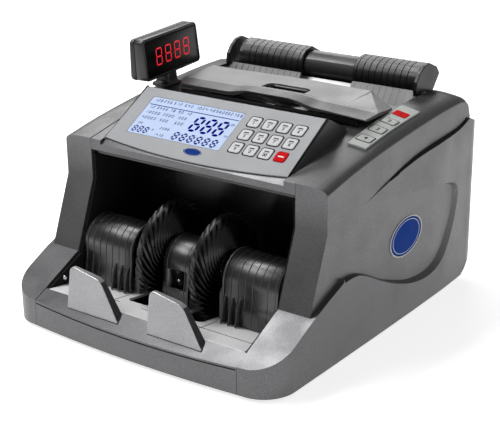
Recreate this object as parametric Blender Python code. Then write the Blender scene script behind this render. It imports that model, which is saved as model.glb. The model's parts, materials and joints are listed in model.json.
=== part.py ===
"""Banknote counting machine: casing, control panel, hopper, stacker and drive.

All lengths below are in millimetres and are turned to metres when a mesh is made.
Inside the machine x runs to the operator's right, y runs to the rear from the front
face of the pillars, and z runs up from the underside of the casing. The empty
"machine" carries every piece and centres the whole on its feet.
"""
import math

import bmesh
import bpy
from mathutils import Matrix, Vector

MM = 0.001
GAP = 0.3                      # clearance between pieces that touch

# Casing
HALF_WIDTH = 127.3             # lower body, outside
PILLAR_HALF = 123.8            # upper casing and pillars, outside
SEAM_X = 97.0                  # seam between side covers and middle covers
WALL = 3.0
FRONT_Y = -70.6                # front face beside the seams
FRONT_BULGE = 4.6              # how far the middle of the front face stands forward
REAR_Y = 232.0
CORNER_R = 26.0
SHOULDER_SLOPE = 0.484
SHOULDER_REF = (-67.4, 22.8)   # a point of the sloping shoulder plane (y, z)
STRIP_REAR_Y = -58.6
PILLAR_FOOT = (-21.5, 45.0)
PILLAR_KNEE = (0.0, 100.4)
FOOT_HEIGHT = 3.0
# Roof height at the seam and at the outer edge, for positions front to rear
ROOF = ((0.0, 133.7, 132.2), (35.0, 141.2, 139.4), (70.0, 148.0, 144.6), (102.0, 153.8, 148.4),
        (140.0, 157.0, 152.0), (171.0, 158.4, 154.2), (195.0, 158.4, 155.0))

# Control panel, a plane sloping up to the rear
PANEL_FRONT = (0.6, 132.3)
PANEL_ANGLE = math.radians(30.2)
PANEL_LENGTH = 64.8
PANEL_HALF_FRONT = 86.5
PANEL_HALF_REAR = 83.5
PANEL_CROWN = 6.0              # how far the middle of the front edge stands forward
OVERLAY_T = 1.2
LCD = (-72.0, 15.6, 18.5, 56.0)
KEY_COLUMNS = (31.0, 44.4, 57.8, 71.2)
KEY_ROWS = (49.1, 35.5, 21.9)
KEY_SIZE = 9.8

# Key strip on the right of the roof
STRIP_X = (100.2, 115.4)
STRIP_Y = (62.4, 141.6)
STRIP_LIFT = (0.4, 2.2)        # underside and top of the strip above the roof
SIDE_KEY_YS = (126.4, 109.3, 92.2, 75.1)
SIDE_KEY_SIZE = (11.6, 8.6)

# Display
DISPLAY_CENTRE = (-106.4, 105.6, 182.4)
DISPLAY_SIZE = (16.0, 86.0, 31.0)
DISPLAY_TURN = math.radians(9.0)
DISPLAY_LEAN = math.radians(7.0)   # its face looks slightly upwards
STALK_FOOT_Z = 153.8

# Stacker
WHEEL_CENTRE = (9.0, 52.0)
WHEEL_RADIUS = 42.5
WHEEL_XS = (-25.5, 25.5)
WHEEL_WIDTH = 17.0
SHELL_CENTRE = (4.0, 51.0)
SHELL_RADIUS = 20.5
SHELL_FOOT_Y = -19.6
SHELLS = {"left": (-93.6, -43.5), "centre": (-12.6, 12.6), "right": (44.0, 93.6)}
POCKET_BACK_Y = 56.0
FLOOR_SLOPE = -0.136
PADDLE_LEFTS = (-64.5, 14.0)
PADDLE_WIDTH = 50.0

# Drive
FEED_CENTRE = (108.0, 90.0)
PICKUP_CENTRE = (134.0, 104.0)
MOTOR_CENTRE = (100.0, 32.0)
SHAFT_RADIUS = 4.0
FRAME_X = 90.0
BELT_X = (98.0, 104.0)
PULLEY_RADII = {"fan": 15.0, "motor": 9.0, "feed": 16.0, "pickup": 10.0}

# Hopper
BAR_X = (-56.4, 66.4)
# Outlines in (y, z) from the rear over the flat top to the front: bar, bore and sleeve
BAR = ((205.6, 160.0), (206.4, 167.6), (203.4, 172.6), (193.0, 177.9), (186.2, 176.6),
       (180.6, 172.9), (178.2, 168.0), (178.4, 163.2))
BORE = ((206.1, 160.0), (206.9, 167.8), (203.7, 173.0), (193.1, 178.4), (186.0, 177.1),
        (180.3, 173.3), (177.7, 168.1), (177.9, 163.0))
SLEEVE = ((208.4, 160.0), (209.0, 168.4), (205.0, 174.9), (193.4, 180.8), (185.3, 179.5),
          (178.6, 175.2), (175.4, 169.0), (175.6, 161.6))
FENCE = ((176.6, 154.6), (181.0, 158.4), (186.0, 158.6), (199.4, 155.6), (211.0, 169.4), (206.0, 175.6), (193.2, 181.0),
         (185.6, 179.9), (173.6, 170.0), (173.2, 158.0), (170.6, 153.8))
GUIDE_SPANS = {"left": (-95.0, -17.0), "right": (33.0, 95.0)}
SLEEVE_SPANS = {"left": (-83.0, -17.0), "right": (33.0, 95.0)}
CAP_T = 3.4
HATCH_X = (-88.0, 99.5)
HATCH_HINGE = (148.0, 162.0)
HATCH_SLOT = (-9.0, 100.0, 33.0, 118.0)
KNOB_CENTRE = (12.0, 109.0)

MATERIALS = {
    "casing_grey": ((0.135, 0.135, 0.14), 0.38, 0.55),
    "tray_grey": ((0.33, 0.33, 0.34), 0.4, 0.4),
    "overlay_silver": ((0.47, 0.48, 0.5), 0.42, 0.3),
    "lcd_blue": ((0.7, 0.8, 0.95), 0.25, 0.0),
    "key_white": ((0.85, 0.85, 0.86), 0.4, 0.0),
    "key_red": ((0.75, 0.02, 0.02), 0.4, 0.0),
    "key_grey": ((0.4, 0.42, 0.4), 0.45, 0.0),
    "black_plastic": ((0.018, 0.018, 0.02), 0.35, 0.0),
    "rubber_black": ((0.02, 0.02, 0.02), 0.8, 0.0),
    "steel": ((0.55, 0.55, 0.56), 0.35, 1.0),
    "silver_sheet": ((0.8, 0.8, 0.8), 0.3, 0.7),
    "board_green": ((0.02, 0.16, 0.07), 0.5, 0.0),
}


def clear_scene():
    for item in list(bpy.data.objects):
        bpy.data.objects.remove(item)


def material(name):
    found = bpy.data.materials.get(name)
    if found:
        return found
    colour, roughness, metallic = MATERIALS[name]
    made = bpy.data.materials.new(name)
    made.use_nodes = True
    shader = made.node_tree.nodes["Principled BSDF"]
    shader.inputs["Base Color"].default_value = (*colour, 1.0)
    shader.inputs["Roughness"].default_value = roughness
    shader.inputs["Metallic"].default_value = metallic
    return made


def add_object(name, verts, faces, finish, parent, round_piece=False):
    """One closed body from vertices in millimetres."""
    bm = bmesh.new()
    points = [bm.verts.new(Vector(v) * MM) for v in verts]
    for face in faces:
        bm.faces.new([points[i] for i in face])
    bmesh.ops.recalc_face_normals(bm, faces=bm.faces)
    mesh = bpy.data.meshes.new(name)
    bm.to_mesh(mesh)
    bm.free()
    if round_piece:
        mesh.shade_smooth()
        mesh.set_sharp_from_angle(angle=math.radians(35))
    item = bpy.data.objects.new(name, mesh)
    mesh.materials.append(material(finish))
    bpy.context.collection.objects.link(item)
    item.parent = parent
    return item


def along(axis, pair, height):
    """A point of an outline drawn square to an axis, at a height along it."""
    first, second = pair
    if axis == "X":
        return (height, first, second)
    if axis == "Y":
        return (first, height, second)
    return (first, second, height)


def prism(name, outline, axis, lo, hi, finish, parent, round_piece=False):
    count = len(outline)
    verts = [along(axis, p, lo) for p in outline] + [along(axis, p, hi) for p in outline]
    faces = [[i, (i + 1) % count, count + (i + 1) % count, count + i] for i in range(count)]
    faces.append(list(range(count)))
    faces.append(list(range(count, 2 * count)))
    return add_object(name, verts, faces, finish, parent, round_piece)


def ring_prism(name, outer, inner, axis, lo, hi, finish, parent):
    """A closed band between two outlines that have the same number of points."""
    count = len(outer)
    loops = [(outer, lo), (outer, hi), (inner, hi), (inner, lo)]
    verts = [along(axis, p, height) for outline, height in loops for p in outline]
    faces = []
    for loop in range(4):
        after = (loop + 1) % 4
        for i in range(count):
            j = (i + 1) % count
            faces.append([loop * count + i, loop * count + j, after * count + j, after * count + i])
    return add_object(name, verts, faces, finish, parent, True)


def block(name, lo, hi, finish, parent, bevel=0.0):
    outline = [(lo[0], lo[1]), (hi[0], lo[1]), (hi[0], hi[1]), (lo[0], hi[1])]
    item = prism(name, outline, "Z", lo[2], hi[2], finish, parent)
    if bevel:
        rounding = item.modifiers.new("edges", "BEVEL")
        rounding.width = bevel * MM
        rounding.segments = 2
    return item


def arc(centre, radius, start, end, steps):
    """Points on an arc, angles in degrees from the first axis to the second."""
    points = []
    for i in range(steps + 1):
        angle = math.radians(start + (end - start) * i / steps)
        points.append((centre[0] + radius * math.cos(angle), centre[1] + radius * math.sin(angle)))
    return points


def circle(centre, radius, steps=24):
    return arc(centre, radius, 0.0, 360.0, steps)[:-1]


def rounded(x0, y0, x1, y1, radius, steps=3):
    return (arc((x1 - radius, y0 + radius), radius, -90, 0, steps)
            + arc((x1 - radius, y1 - radius), radius, 0, 90, steps)
            + arc((x0 + radius, y1 - radius), radius, 90, 180, steps)
            + arc((x0 + radius, y0 + radius), radius, 180, 270, steps))


def inset(outline, distance):
    """An anticlockwise outline moved inwards, mitred at its corners."""
    result = []
    count = len(outline)
    for i in range(count):
        before, here, after = (Vector(outline[(i + k) % count]) for k in (-1, 0, 1))
        first = (here - before).normalized()
        second = (after - here).normalized()
        normal_a = Vector((-first.y, first.x))
        normal_b = Vector((-second.y, second.x))
        middle = (normal_a + normal_b).normalized()
        reach = distance / max(0.35, middle.dot(normal_a))
        result.append(tuple(here + middle * reach))
    return result


def boolean(target, tool, operation):
    tool.hide_render = True
    tool.display_type = "WIRE"
    step = target.modifiers.new(operation.lower(), "BOOLEAN")
    step.operation = operation
    step.object = tool


def pivot(item, point):
    """Move an object's origin to a joint's axis and leave its shape in place."""
    offset = Vector(point) * MM
    item.data.transform(Matrix.Translation(-offset))
    item.location = offset


def mirrored(outline):
    return [(-x, y) for x, y in reversed(outline)]


def shoulder_z(y):
    return SHOULDER_REF[1] + SHOULDER_SLOPE * (y - SHOULDER_REF[0])


def floor_z(y):
    return shoulder_z(STRIP_REAR_Y) + FLOOR_SLOPE * (y - STRIP_REAR_Y)


def front_y(x):
    """Front face of the casing at x, which bulges in the middle."""
    return FRONT_Y - FRONT_BULGE * (1.0 - (x / 101.3) ** 2)


def side_profile():
    """Outline of the casing seen from the right, anticlockwise in (y, z)."""
    rear = [(205.0, 0.0), (211.0, 4.0), (225.0, 20.0), (230.5, 45.0), (REAR_Y, 66.0),
            (228.0, 104.0), (221.0, 131.0), (208.5, 136.5)]
    roof = [(203.0, 151.0)] + [(y, seam_z) for y, seam_z, _ in reversed(ROOF)]
    front = [PILLAR_KNEE, PILLAR_FOOT, (FRONT_Y - 6.0, shoulder_z(FRONT_Y - 6.0))]
    return [(FRONT_Y - 6.0, 0.0)] + rear + roof + front


def tilt_roof(cover, outer_x):
    """Lower the outer end of the roof, which falls away from the seam."""
    reach = (abs(outer_x) - SEAM_X) / (PILLAR_HALF - SEAM_X)
    drops = {y: (seam_z - edge_z) * reach for y, seam_z, edge_z in ROOF}
    for vert in cover.data.vertices:
        x, y, z = (value / MM for value in vert.co)
        for place, drop in drops.items():
            if abs(x - outer_x) < 0.1 and abs(y - place) < 0.01 and z > 120.0:
                vert.co.z -= drop * MM


def side_plan():
    """Right half of the casing seen from above, outside the seam."""
    corner = arc((HALF_WIDTH - CORNER_R, FRONT_Y + CORNER_R), CORNER_R, -90, 0, 8)
    rear = arc((HALF_WIDTH - 22.0, REAR_Y - 19.5), 19.5, 0, 90, 5)
    inner = [(SEAM_X, REAR_Y), (SEAM_X, front_y(SEAM_X))]
    return [(x, y) for x, y in corner] + [(HALF_WIDTH + 0.7, 80.0)] + rear + inner


def machine_empty():
    """The empty that stands the casing on its feet, centred front to rear."""
    empty = bpy.data.objects.new("machine", None)
    middle = (REAR_Y + FRONT_Y - FRONT_BULGE) / 2.0
    empty.location = Vector((0.0, -middle, FOOT_HEIGHT)) * MM
    bpy.context.collection.objects.link(empty)
    return empty


def make_side_cover(name, side, root):
    """Hollow side cover: pillar, roof edge, shoulder and the proud lower body."""
    plan = side_plan() if side > 0 else mirrored(side_plan())
    inner_plan = inset(side_plan(), WALL)
    inner_plan = [(x - (12.0 if x < SEAM_X + 5.0 else 0.0), y) for x, y in inner_plan]
    inner_plan = inner_plan if side > 0 else mirrored(inner_plan)
    near, far = SEAM_X * side, (HALF_WIDTH + 2.0) * side
    cover = prism(name, side_profile(), "X", min(near, far), max(near, far), "casing_grey", root)
    tilt_roof(cover, far)
    shape = prism(name + "_plan", plan, "Z", -2.0, 165.0, "casing_grey", root)
    boolean(cover, shape, "INTERSECT")
    upper = [(-24.0, 44.0), (20.0, 61.0), (46.0, 108.0), (118.0, 125.0), (189.0, 131.2),
             (240.0, 135.0), (240.0, 170.0), (-30.0, 170.0)]
    reach = sorted((PILLAR_HALF * side, (HALF_WIDTH + 5.0) * side))
    boolean(cover, prism(name + "_upper", upper, "X", *reach, "casing_grey", root), "DIFFERENCE")
    leaf = [(22.0, 60.4), (44.0, 56.0), (93.0, 33.0), (125.0, 23.5), (148.0, 22.5), (171.0, 30.0),
            (184.0, 47.0), (194.0, 70.0), (196.0, 79.0), (191.0, 88.0), (173.0, 95.0),
            (96.0, 102.0), (48.0, 102.0)]
    reach = sorted(((HALF_WIDTH - 2.4) * side, (HALF_WIDTH + 5.0) * side))
    boolean(cover, prism(name + "_leaf", leaf, "X", *reach, "casing_grey", root), "DIFFERENCE")
    hollow = [(y, -6.0 if z < 6.0 else z - (5.5 if z > 125.0 else 0.0))
              for y, z in inset(side_profile(), WALL)]
    reach = sorted(((SEAM_X - 15.0) * side, (HALF_WIDTH - 6.6) * side))
    cavity = prism(name + "_cavity", hollow, "X", *reach, "casing_grey", root)
    cavity_plan = prism(name + "_cavity_plan", inner_plan, "Z", -9.0, 165.0, "casing_grey", root)
    boolean(cavity, cavity_plan, "INTERSECT")
    boolean(cover, cavity, "DIFFERENCE")
    return cover


def make_base(root):
    """Steel base plate and four rubber feet."""
    half = HALF_WIDTH - WALL - 4.6
    plan = (arc((half - CORNER_R, FRONT_Y + 5.0 + CORNER_R), CORNER_R, -90, 0, 6)
            + arc((half - 12.0, 188.0), 12.0, 0, 90, 3)
            + arc((12.0 - half, 188.0), 12.0, 90, 180, 3)
            + arc((CORNER_R - half, FRONT_Y + 5.0 + CORNER_R), CORNER_R, 180, 270, 6))
    prism("base_plate", plan, "Z", 0.0, 1.8, "steel", root)
    for name, x, y in (("foot_front_left", -92.0, -38.0), ("foot_front_right", 92.0, -38.0),
                       ("foot_rear_left", -92.0, 178.0), ("foot_rear_right", 92.0, 178.0)):
        prism(name, circle((x, y), 9.0, 24), "Z", -FOOT_HEIGHT, -GAP, "rubber_black", root, True)


def make_apron(root):
    """Front apron: a curved front wall with the sloping strip on top of it."""
    edge = SEAM_X - GAP
    stations = [edge * (2.0 * i / 12 - 1.0) for i in range(13)]
    verts = []
    for x in stations:
        face = front_y(x)
        verts += [(x, face, 0.0), (x, face, shoulder_z(face)),
                  (x, STRIP_REAR_Y, shoulder_z(STRIP_REAR_Y)),
                  (x, STRIP_REAR_Y, shoulder_z(STRIP_REAR_Y) - 2.4),
                  (x, face + 2.6, shoulder_z(face + 2.6) - 2.8), (x, face + 2.6, 0.0)]
    faces = []
    for k in range(12):
        for i in range(6):
            j = (i + 1) % 6
            faces.append([6 * k + i, 6 * k + j, 6 * k + 6 + j, 6 * k + 6 + i])
    faces.append(list(range(6)))
    faces.append(list(range(72, 78)))
    apron = add_object("front_apron", verts, faces, "casing_grey", root)
    for number, left in enumerate(PADDLE_LEFTS):
        middle = left + PADDLE_WIDTH / 2.0
        slot = block("stem_slot_%d" % number, (middle - 8.6, -68.0, 10.0),
                     (middle + 8.6, -59.6, 40.0), "black_plastic", root)
        boolean(apron, slot, "DIFFERENCE")


def make_tray(root):
    """Stacker floor, a gently sloping comb plate with a slot for each fan wheel."""
    front = STRIP_REAR_Y + GAP
    rear, slot_front = 14.0, -33.0
    half = 94.0
    slot = WHEEL_WIDTH / 2.0 + 2.2
    outline = [(-half, front), (half, front), (half, rear)]
    for centre in reversed(WHEEL_XS):
        outline += [(centre + slot, rear), (centre + slot, slot_front + 3.0),
                    (centre + slot - 3.0, slot_front), (centre - slot + 3.0, slot_front),
                    (centre - slot, slot_front + 3.0), (centre - slot, rear)]
    outline.append((-half, rear))
    tray = prism("stacker_tray", outline, "Z", 0.0, 2.2, "tray_grey", root)
    for vert in tray.data.vertices:
        vert.co.z += (floor_z(vert.co.y / MM) - 2.2) * MM


def make_pocket(root):
    """Black walls, ceiling and back of the stacker opening."""
    wall = [(STRIP_REAR_Y + 1.2, 3.0), (60.0, 3.0), (60.0, 121.0), (1.6, 121.0),
            (1.6, PILLAR_KNEE[1] + 0.2), (PILLAR_FOOT[0] + 2.4, PILLAR_FOOT[1] - 0.6),
            (STRIP_REAR_Y + 1.2, shoulder_z(STRIP_REAR_Y) - 0.8)]
    for name, lo, hi in (("pocket_wall_left", -96.6, -94.6), ("pocket_wall_right", 94.6, 96.6)):
        side = prism(name, wall, "X", lo, hi, "black_plastic", root)
        hole = prism(name + "_shaft_hole", circle(WHEEL_CENTRE, SHAFT_RADIUS + 1.0, 20), "X",
                     lo - 2.0, hi + 2.0, "black_plastic", root)
        boolean(side, hole, "DIFFERENCE")
    lining = ([(4.0, 123.2), (4.0, 121.4)] + arc((44.0, 109.4), 12.0, 90, 0, 5)
              + [(POCKET_BACK_Y, 20.0), (POCKET_BACK_Y + 2.0, 20.0)]
              + arc((44.0, 109.4), 13.8, 0, 90, 5))
    prism("pocket_lining", lining, "X", -94.2, 94.2, "black_plastic", root, True)


def make_shells(root):
    """Curved covers of the fan shaft, one left, one centre and one right."""
    outer = arc(SHELL_CENTRE, SHELL_RADIUS, 50, 180, 12)
    inner = arc(SHELL_CENTRE, SHELL_RADIUS - 2.0, 180, 50, 12)
    foot = floor_z(SHELL_FOOT_Y) + 0.6
    outline = outer + [(SHELL_FOOT_Y, foot), (SHELL_FOOT_Y + 2.0, foot)] + inner
    for side, (lo, hi) in SHELLS.items():
        prism("stacker_shell_" + side, outline, "X", lo, hi, "black_plastic", root, True)


def fan_outline(blades):
    """A wheel of thin fingers that sweep back from a hub."""
    hub, tip = 15.0, WHEEL_RADIUS
    pitch = 360.0 / blades
    points = []
    for k in range(blades):
        base = k * pitch
        for share in (0.0, 0.33, 0.66, 1.0):
            angle = math.radians(base + 50.0 * share ** 1.3)
            radius = hub + (tip - hub) * share
            points.append((radius, angle))
        for share in (1.0, 0.66, 0.33, 0.04):
            angle = math.radians(base + 50.0 * share ** 1.3 + 2.6 + 9.0 * (1.0 - share))
            radius = hub + (tip - hub) * share
            points.append((radius, angle))
    return [(WHEEL_CENTRE[0] + r * math.cos(a), WHEEL_CENTRE[1] + r * math.sin(a)) for r, a in points]


def make_fans(root):
    """Two fan wheels on a shaft that also carries their pulley."""
    half = WHEEL_WIDTH / 2.0
    outline = fan_outline(14)
    bore = SHAFT_RADIUS + GAP
    for name, centre in zip(("fan_wheel_left", "fan_wheel_right"), WHEEL_XS):
        wheel = prism(name, outline, "X", centre - half, centre + half, "rubber_black", root)
        hole = prism(name + "_bore", circle(WHEEL_CENTRE, bore, 20), "X", centre - half - 2.0,
                     centre + half + 2.0, "rubber_black", root)
        boolean(wheel, hole, "DIFFERENCE")
        pivot(wheel, (centre, *WHEEL_CENTRE))
    shaft("fan_shaft", WHEEL_CENTRE, [(-100.0, 4.0), pulley("fan"), (106.0, 4.0)], "steel", root)


def pulley(name):
    """The step of a shaft that carries its belt pulley."""
    return (*BELT_X, PULLEY_RADII[name])


def shaft(name, centre, steps, finish, root):
    """A turned shaft along x. Each step is (start, radius) or (start, end, radius)."""
    runs = []
    for step in steps[:-1]:
        start, radius = step[0], step[-1]
        if len(step) == 3:
            runs += [(start, SHAFT_RADIUS), (start, radius), (step[1], radius), (step[1], SHAFT_RADIUS)]
        else:
            runs.append((start, radius))
    runs.append(steps[-1])
    count = 24
    verts = [(x, *p) for x, r in runs for p in circle(centre, r, count)]
    faces = [list(range(count)), list(range(len(verts) - count, len(verts)))]
    for k in range(len(runs) - 1):
        for i in range(count):
            j = (i + 1) % count
            faces.append([k * count + i, k * count + j, (k + 1) * count + j, (k + 1) * count + i])
    item = add_object(name, verts, faces, finish, root, True)
    pivot(item, (0.0, *centre))
    return item


def belt_loop(pulleys, extra):
    """Convex loop round pulleys given anticlockwise as (centre, radius)."""
    def outward(one, other):
        """Angle of the outward normal of the straight run between two pulleys."""
        run = Vector(other[0]) - Vector(one[0])
        lean = math.asin((one[1] - other[1]) / run.length)
        return math.degrees(math.atan2(run.y, run.x) + lean) - 90.0

    loop = []
    count = len(pulleys)
    for i in range(count):
        before, here, after = (pulleys[(i + k) % count] for k in (-1, 0, 1))
        start, end = outward(before, here), outward(here, after)
        while end < start:
            end += 360.0
        loop += arc(here[0], here[1] + extra, start, end, 7)
    return loop


def make_drive(root):
    """Feed, pick-up and motor shafts with their belt, and the plates that carry them."""
    shaft("feed_shaft", FEED_CENTRE, [(-92.0, 4.0), (-58.0, -22.0, 14.0), (22.0, 58.0, 14.0),
                                      pulley("feed"), (106.0, 4.0)], "rubber_black", root)
    shaft("pickup_shaft", PICKUP_CENTRE, [(-92.0, 4.0), (-42.0, -24.0, 12.0), (24.0, 42.0, 12.0),
                                          pulley("pickup"), (106.0, 4.0)], "rubber_black", root)
    shaft("motor_rotor", MOTOR_CENTRE, [(78.0, 4.0), pulley("motor"), (106.0, 4.0)], "steel", root)
    prism("main_motor", circle(MOTOR_CENTRE, 20.0, 24), "X", 24.0, 77.0, "steel", root, True)
    pulleys = [(WHEEL_CENTRE, PULLEY_RADII["fan"]), (MOTOR_CENTRE, PULLEY_RADII["motor"]),
               (PICKUP_CENTRE, PULLEY_RADII["pickup"]), (FEED_CENTRE, PULLEY_RADII["feed"])]
    ring_prism("drive_belt", belt_loop(pulleys, 1.9), belt_loop(pulleys, 0.3), "X",
               BELT_X[0] + 0.6, BELT_X[1] - 0.6, "rubber_black", root)
    block("retard_block", (-14.0, 99.0, 108.0), (14.0, 117.0, 122.0), "rubber_black", root, 1.0)
    plate = [(64.0, 3.0), (192.0, 3.0), (192.0, 112.0), (146.0, 116.0), (130.0, 128.0), (64.0, 128.0)]
    for side, lo in (("left", -FRAME_X - 1.6), ("right", FRAME_X)):
        frame = prism("frame_plate_" + side, plate, "X", lo, lo + 1.6, "steel", root)
        for tag, centre in (("feed", FEED_CENTRE), ("pickup", PICKUP_CENTRE), ("motor", MOTOR_CENTRE)):
            hole = prism("frame_%s_%s_hole" % (side, tag), circle(centre, SHAFT_RADIUS + 1.0, 20),
                         "X", lo - 2.0, lo + 4.0, "steel", root)
            boolean(frame, hole, "DIFFERENCE")


def panel_point(u, v, height=0.0):
    """Place a point given on the sloping panel: u to the right, v up the slope."""
    c, s = math.cos(PANEL_ANGLE), math.sin(PANEL_ANGLE)
    return (u, PANEL_FRONT[0] + v * c - height * s, PANEL_FRONT[1] + v * s + height * c)


def slope_empty(root):
    """The empty that lies on the panel, with its own z square to it."""
    empty = bpy.data.objects.new("panel_slope", None)
    empty.location = Vector(panel_point(0.0, 0.0)) * MM
    empty.rotation_euler = (PANEL_ANGLE, 0.0, 0.0)
    empty.parent = root
    bpy.context.collection.objects.link(empty)
    return empty


def panel_outline():
    """Outline of the panel overlay, with its curved front edge."""
    front = []
    for i in range(11):
        u = PANEL_HALF_FRONT * (2.0 * i / 10 - 1.0)
        front.append((u, PANEL_CROWN * (u / PANEL_HALF_FRONT) ** 2))
    return front + [(PANEL_HALF_REAR, PANEL_LENGTH), (-PANEL_HALF_REAR, PANEL_LENGTH)]


def make_top_cover(root):
    """Roof between the side covers, with the wedge under the control panel."""
    edge = SEAM_X - GAP
    skin = 2.4
    places = [(y, z) for y, z, _ in ROOF if y < 130.0] + [(142.0, 156.6)]
    under = [(y, z - skin) for y, z in reversed(places[1:])]
    roof = [(0.0, 125.0)] + places + under + [(skin, places[0][1] - skin), (skin, 125.0)]
    cover = prism("top_cover", roof, "X", -edge, edge, "casing_grey", root)
    bed = OVERLAY_T + GAP
    crest = panel_point(0.0, PANEL_LENGTH + 1.6, -bed)
    front = panel_point(0.0, 9.0, -bed)
    wedge = [(front[1], front[2] - 4.0), front[1:], crest[1:], (crest[1] + 4.0, crest[2] - 2.0),
             (82.0, 152.4), (82.0, 149.0), (70.0, 146.8), (35.0, 140.0)]
    raised = prism("panel_wedge", wedge, "X", -PANEL_HALF_FRONT, PANEL_HALF_FRONT,
                   "casing_grey", root)
    boolean(cover, raised, "UNION")
    low, high = panel_point(0.0, -8.0, -bed), panel_point(0.0, PANEL_LENGTH + 1.0, -bed)
    above = [low[1:], high[1:], (high[1], 190.0), (low[1], 190.0)]
    reach = PANEL_HALF_FRONT + GAP
    boolean(cover, prism("panel_bed", above, "X", -reach, reach, "casing_grey", root), "DIFFERENCE")
    hollow = [(16.0, 120.0), (16.0, 136.0), (crest[1] - 2.0, crest[2] - 5.0), (78.0, 149.0),
              (78.0, 120.0)]
    inside = prism("panel_hollow", hollow, "X", 3.0 - PANEL_HALF_FRONT, PANEL_HALF_FRONT - 3.0,
                   "casing_grey", root)
    boolean(cover, inside, "DIFFERENCE")


def make_panel(root):
    """Panel overlay, its LCD window and twelve keys."""
    slope = slope_empty(root)
    overlay = prism("panel_overlay", panel_outline(), "Z", -OVERLAY_T, 0.0, "overlay_silver", slope)
    window = prism("lcd_opening", rounded(*LCD, 1.0), "Z", -5.0, 5.0, "lcd_blue", slope)
    boolean(overlay, window, "DIFFERENCE")
    u0, v0, u1, v1 = LCD
    prism("lcd_window", rounded(u0 + GAP, v0 + GAP, u1 - GAP, v1 - GAP, 1.0), "Z", -OVERLAY_T,
          -0.3, "lcd_blue", slope)
    number = 0
    half = KEY_SIZE / 2.0
    for v in KEY_ROWS:
        for u in KEY_COLUMNS:
            number += 1
            opening = prism("key_opening_%d" % number,
                            rounded(u - half - GAP, v - half - GAP, u + half + GAP, v + half + GAP, 2.2),
                            "Z", -5.0, 5.0, "key_white", slope)
            boolean(overlay, opening, "DIFFERENCE")
            finish = "key_red" if number == 12 else "key_white"
            key = prism("panel_key_%d" % number, rounded(u - half, v - half, u + half, v + half, 2.0),
                        "Z", -0.8, 0.3, finish, slope)
            pivot(key, (u, v, 0.0))


def roof_z(x, y):
    """Height of the roof of a side cover."""
    for (y0, seam_0, edge_0), (y1, seam_1, edge_1) in zip(ROOF, ROOF[1:]):
        if y0 <= y <= y1:
            share = (y - y0) / (y1 - y0)
            seam = seam_0 + (seam_1 - seam_0) * share
            edge = edge_0 + (edge_1 - edge_0) * share
            return seam + (edge - seam) * (x - SEAM_X) / (PILLAR_HALF - SEAM_X)
    raise ValueError("off the roof")


def roof_empty(name, x, y, root):
    """An empty that lies on the roof of the right side cover."""
    step = 5.0
    rise = math.atan2(roof_z(x, y + step) - roof_z(x, y - step), 2.0 * step)
    fall = math.atan2(roof_z(x - step, y) - roof_z(x + step, y), 2.0 * step)
    empty = bpy.data.objects.new(name, None)
    empty.location = Vector((x, y, roof_z(x, y) + STRIP_LIFT[1])) * MM
    empty.rotation_euler = (rise, fall, 0.0)
    empty.parent = root
    bpy.context.collection.objects.link(empty)
    return empty


def make_key_strip(root):
    """Key strip that follows the curve of the roof, with four keys let into it."""
    (x0, x1), (y0, y1) = STRIP_X, STRIP_Y
    low, high = STRIP_LIFT
    verts, faces = [], []
    runs = 10
    for k in range(runs + 1):
        y = y0 + (y1 - y0) * k / runs
        verts += [(x, y, roof_z(x, y) + lift) for x, lift in
                  ((x0, low), (x1, low), (x1, high), (x0, high))]
    for k in range(runs):
        for i in range(4):
            j = (i + 1) % 4
            faces.append([4 * k + i, 4 * k + j, 4 * k + 4 + j, 4 * k + 4 + i])
    faces += [list(range(4)), list(range(4 * runs, 4 * runs + 4))]
    strip = add_object("side_key_strip", verts, faces, "key_grey", root)
    wide, deep = SIDE_KEY_SIZE[0] / 2.0, SIDE_KEY_SIZE[1] / 2.0
    for number, y in enumerate(SIDE_KEY_YS, 1):
        seat = roof_empty("side_key_%d_axis" % number, (x0 + x1) / 2.0, y, root)
        opening = prism("side_key_opening_%d" % number,
                        rounded(-wide - GAP, -deep - GAP, wide + GAP, deep + GAP, 1.2),
                        "Z", -1.2, 6.0, "key_grey", seat)
        boolean(strip, opening, "DIFFERENCE")
        prism("side_key_%d" % number, rounded(-wide, -deep, wide, deep, 1.0), "Z", -0.65, 0.4,
              "key_red" if number == 1 else "key_grey", seat)


def make_display(root):
    """Customer display on a short stalk; it swivels about the stalk."""
    x, y, z = DISPLAY_CENTRE
    top = z - DISPLAY_SIZE[2] / 2.0 - GAP
    prism("display_stalk", circle((x, y), 6.0, 20), "Z", STALK_FOOT_Z, top, "black_plastic", root, True)
    swivel = bpy.data.objects.new("display_swivel_axis", None)
    swivel.location = Vector(DISPLAY_CENTRE) * MM
    swivel.rotation_euler = (0.0, 0.0, DISPLAY_TURN)
    swivel.parent = root
    bpy.context.collection.objects.link(swivel)
    deep, length, tall = (s / 2.0 for s in DISPLAY_SIZE)
    face = rounded(-length, -tall, length, tall, 4.0)
    housing = prism("display_housing", face, "X", -deep, deep, "black_plastic", swivel)
    for vert in housing.data.vertices:
        if vert.co.x > 0.0:
            vert.co.x -= math.tan(DISPLAY_LEAN) * (vert.co.z + tall * MM)


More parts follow.
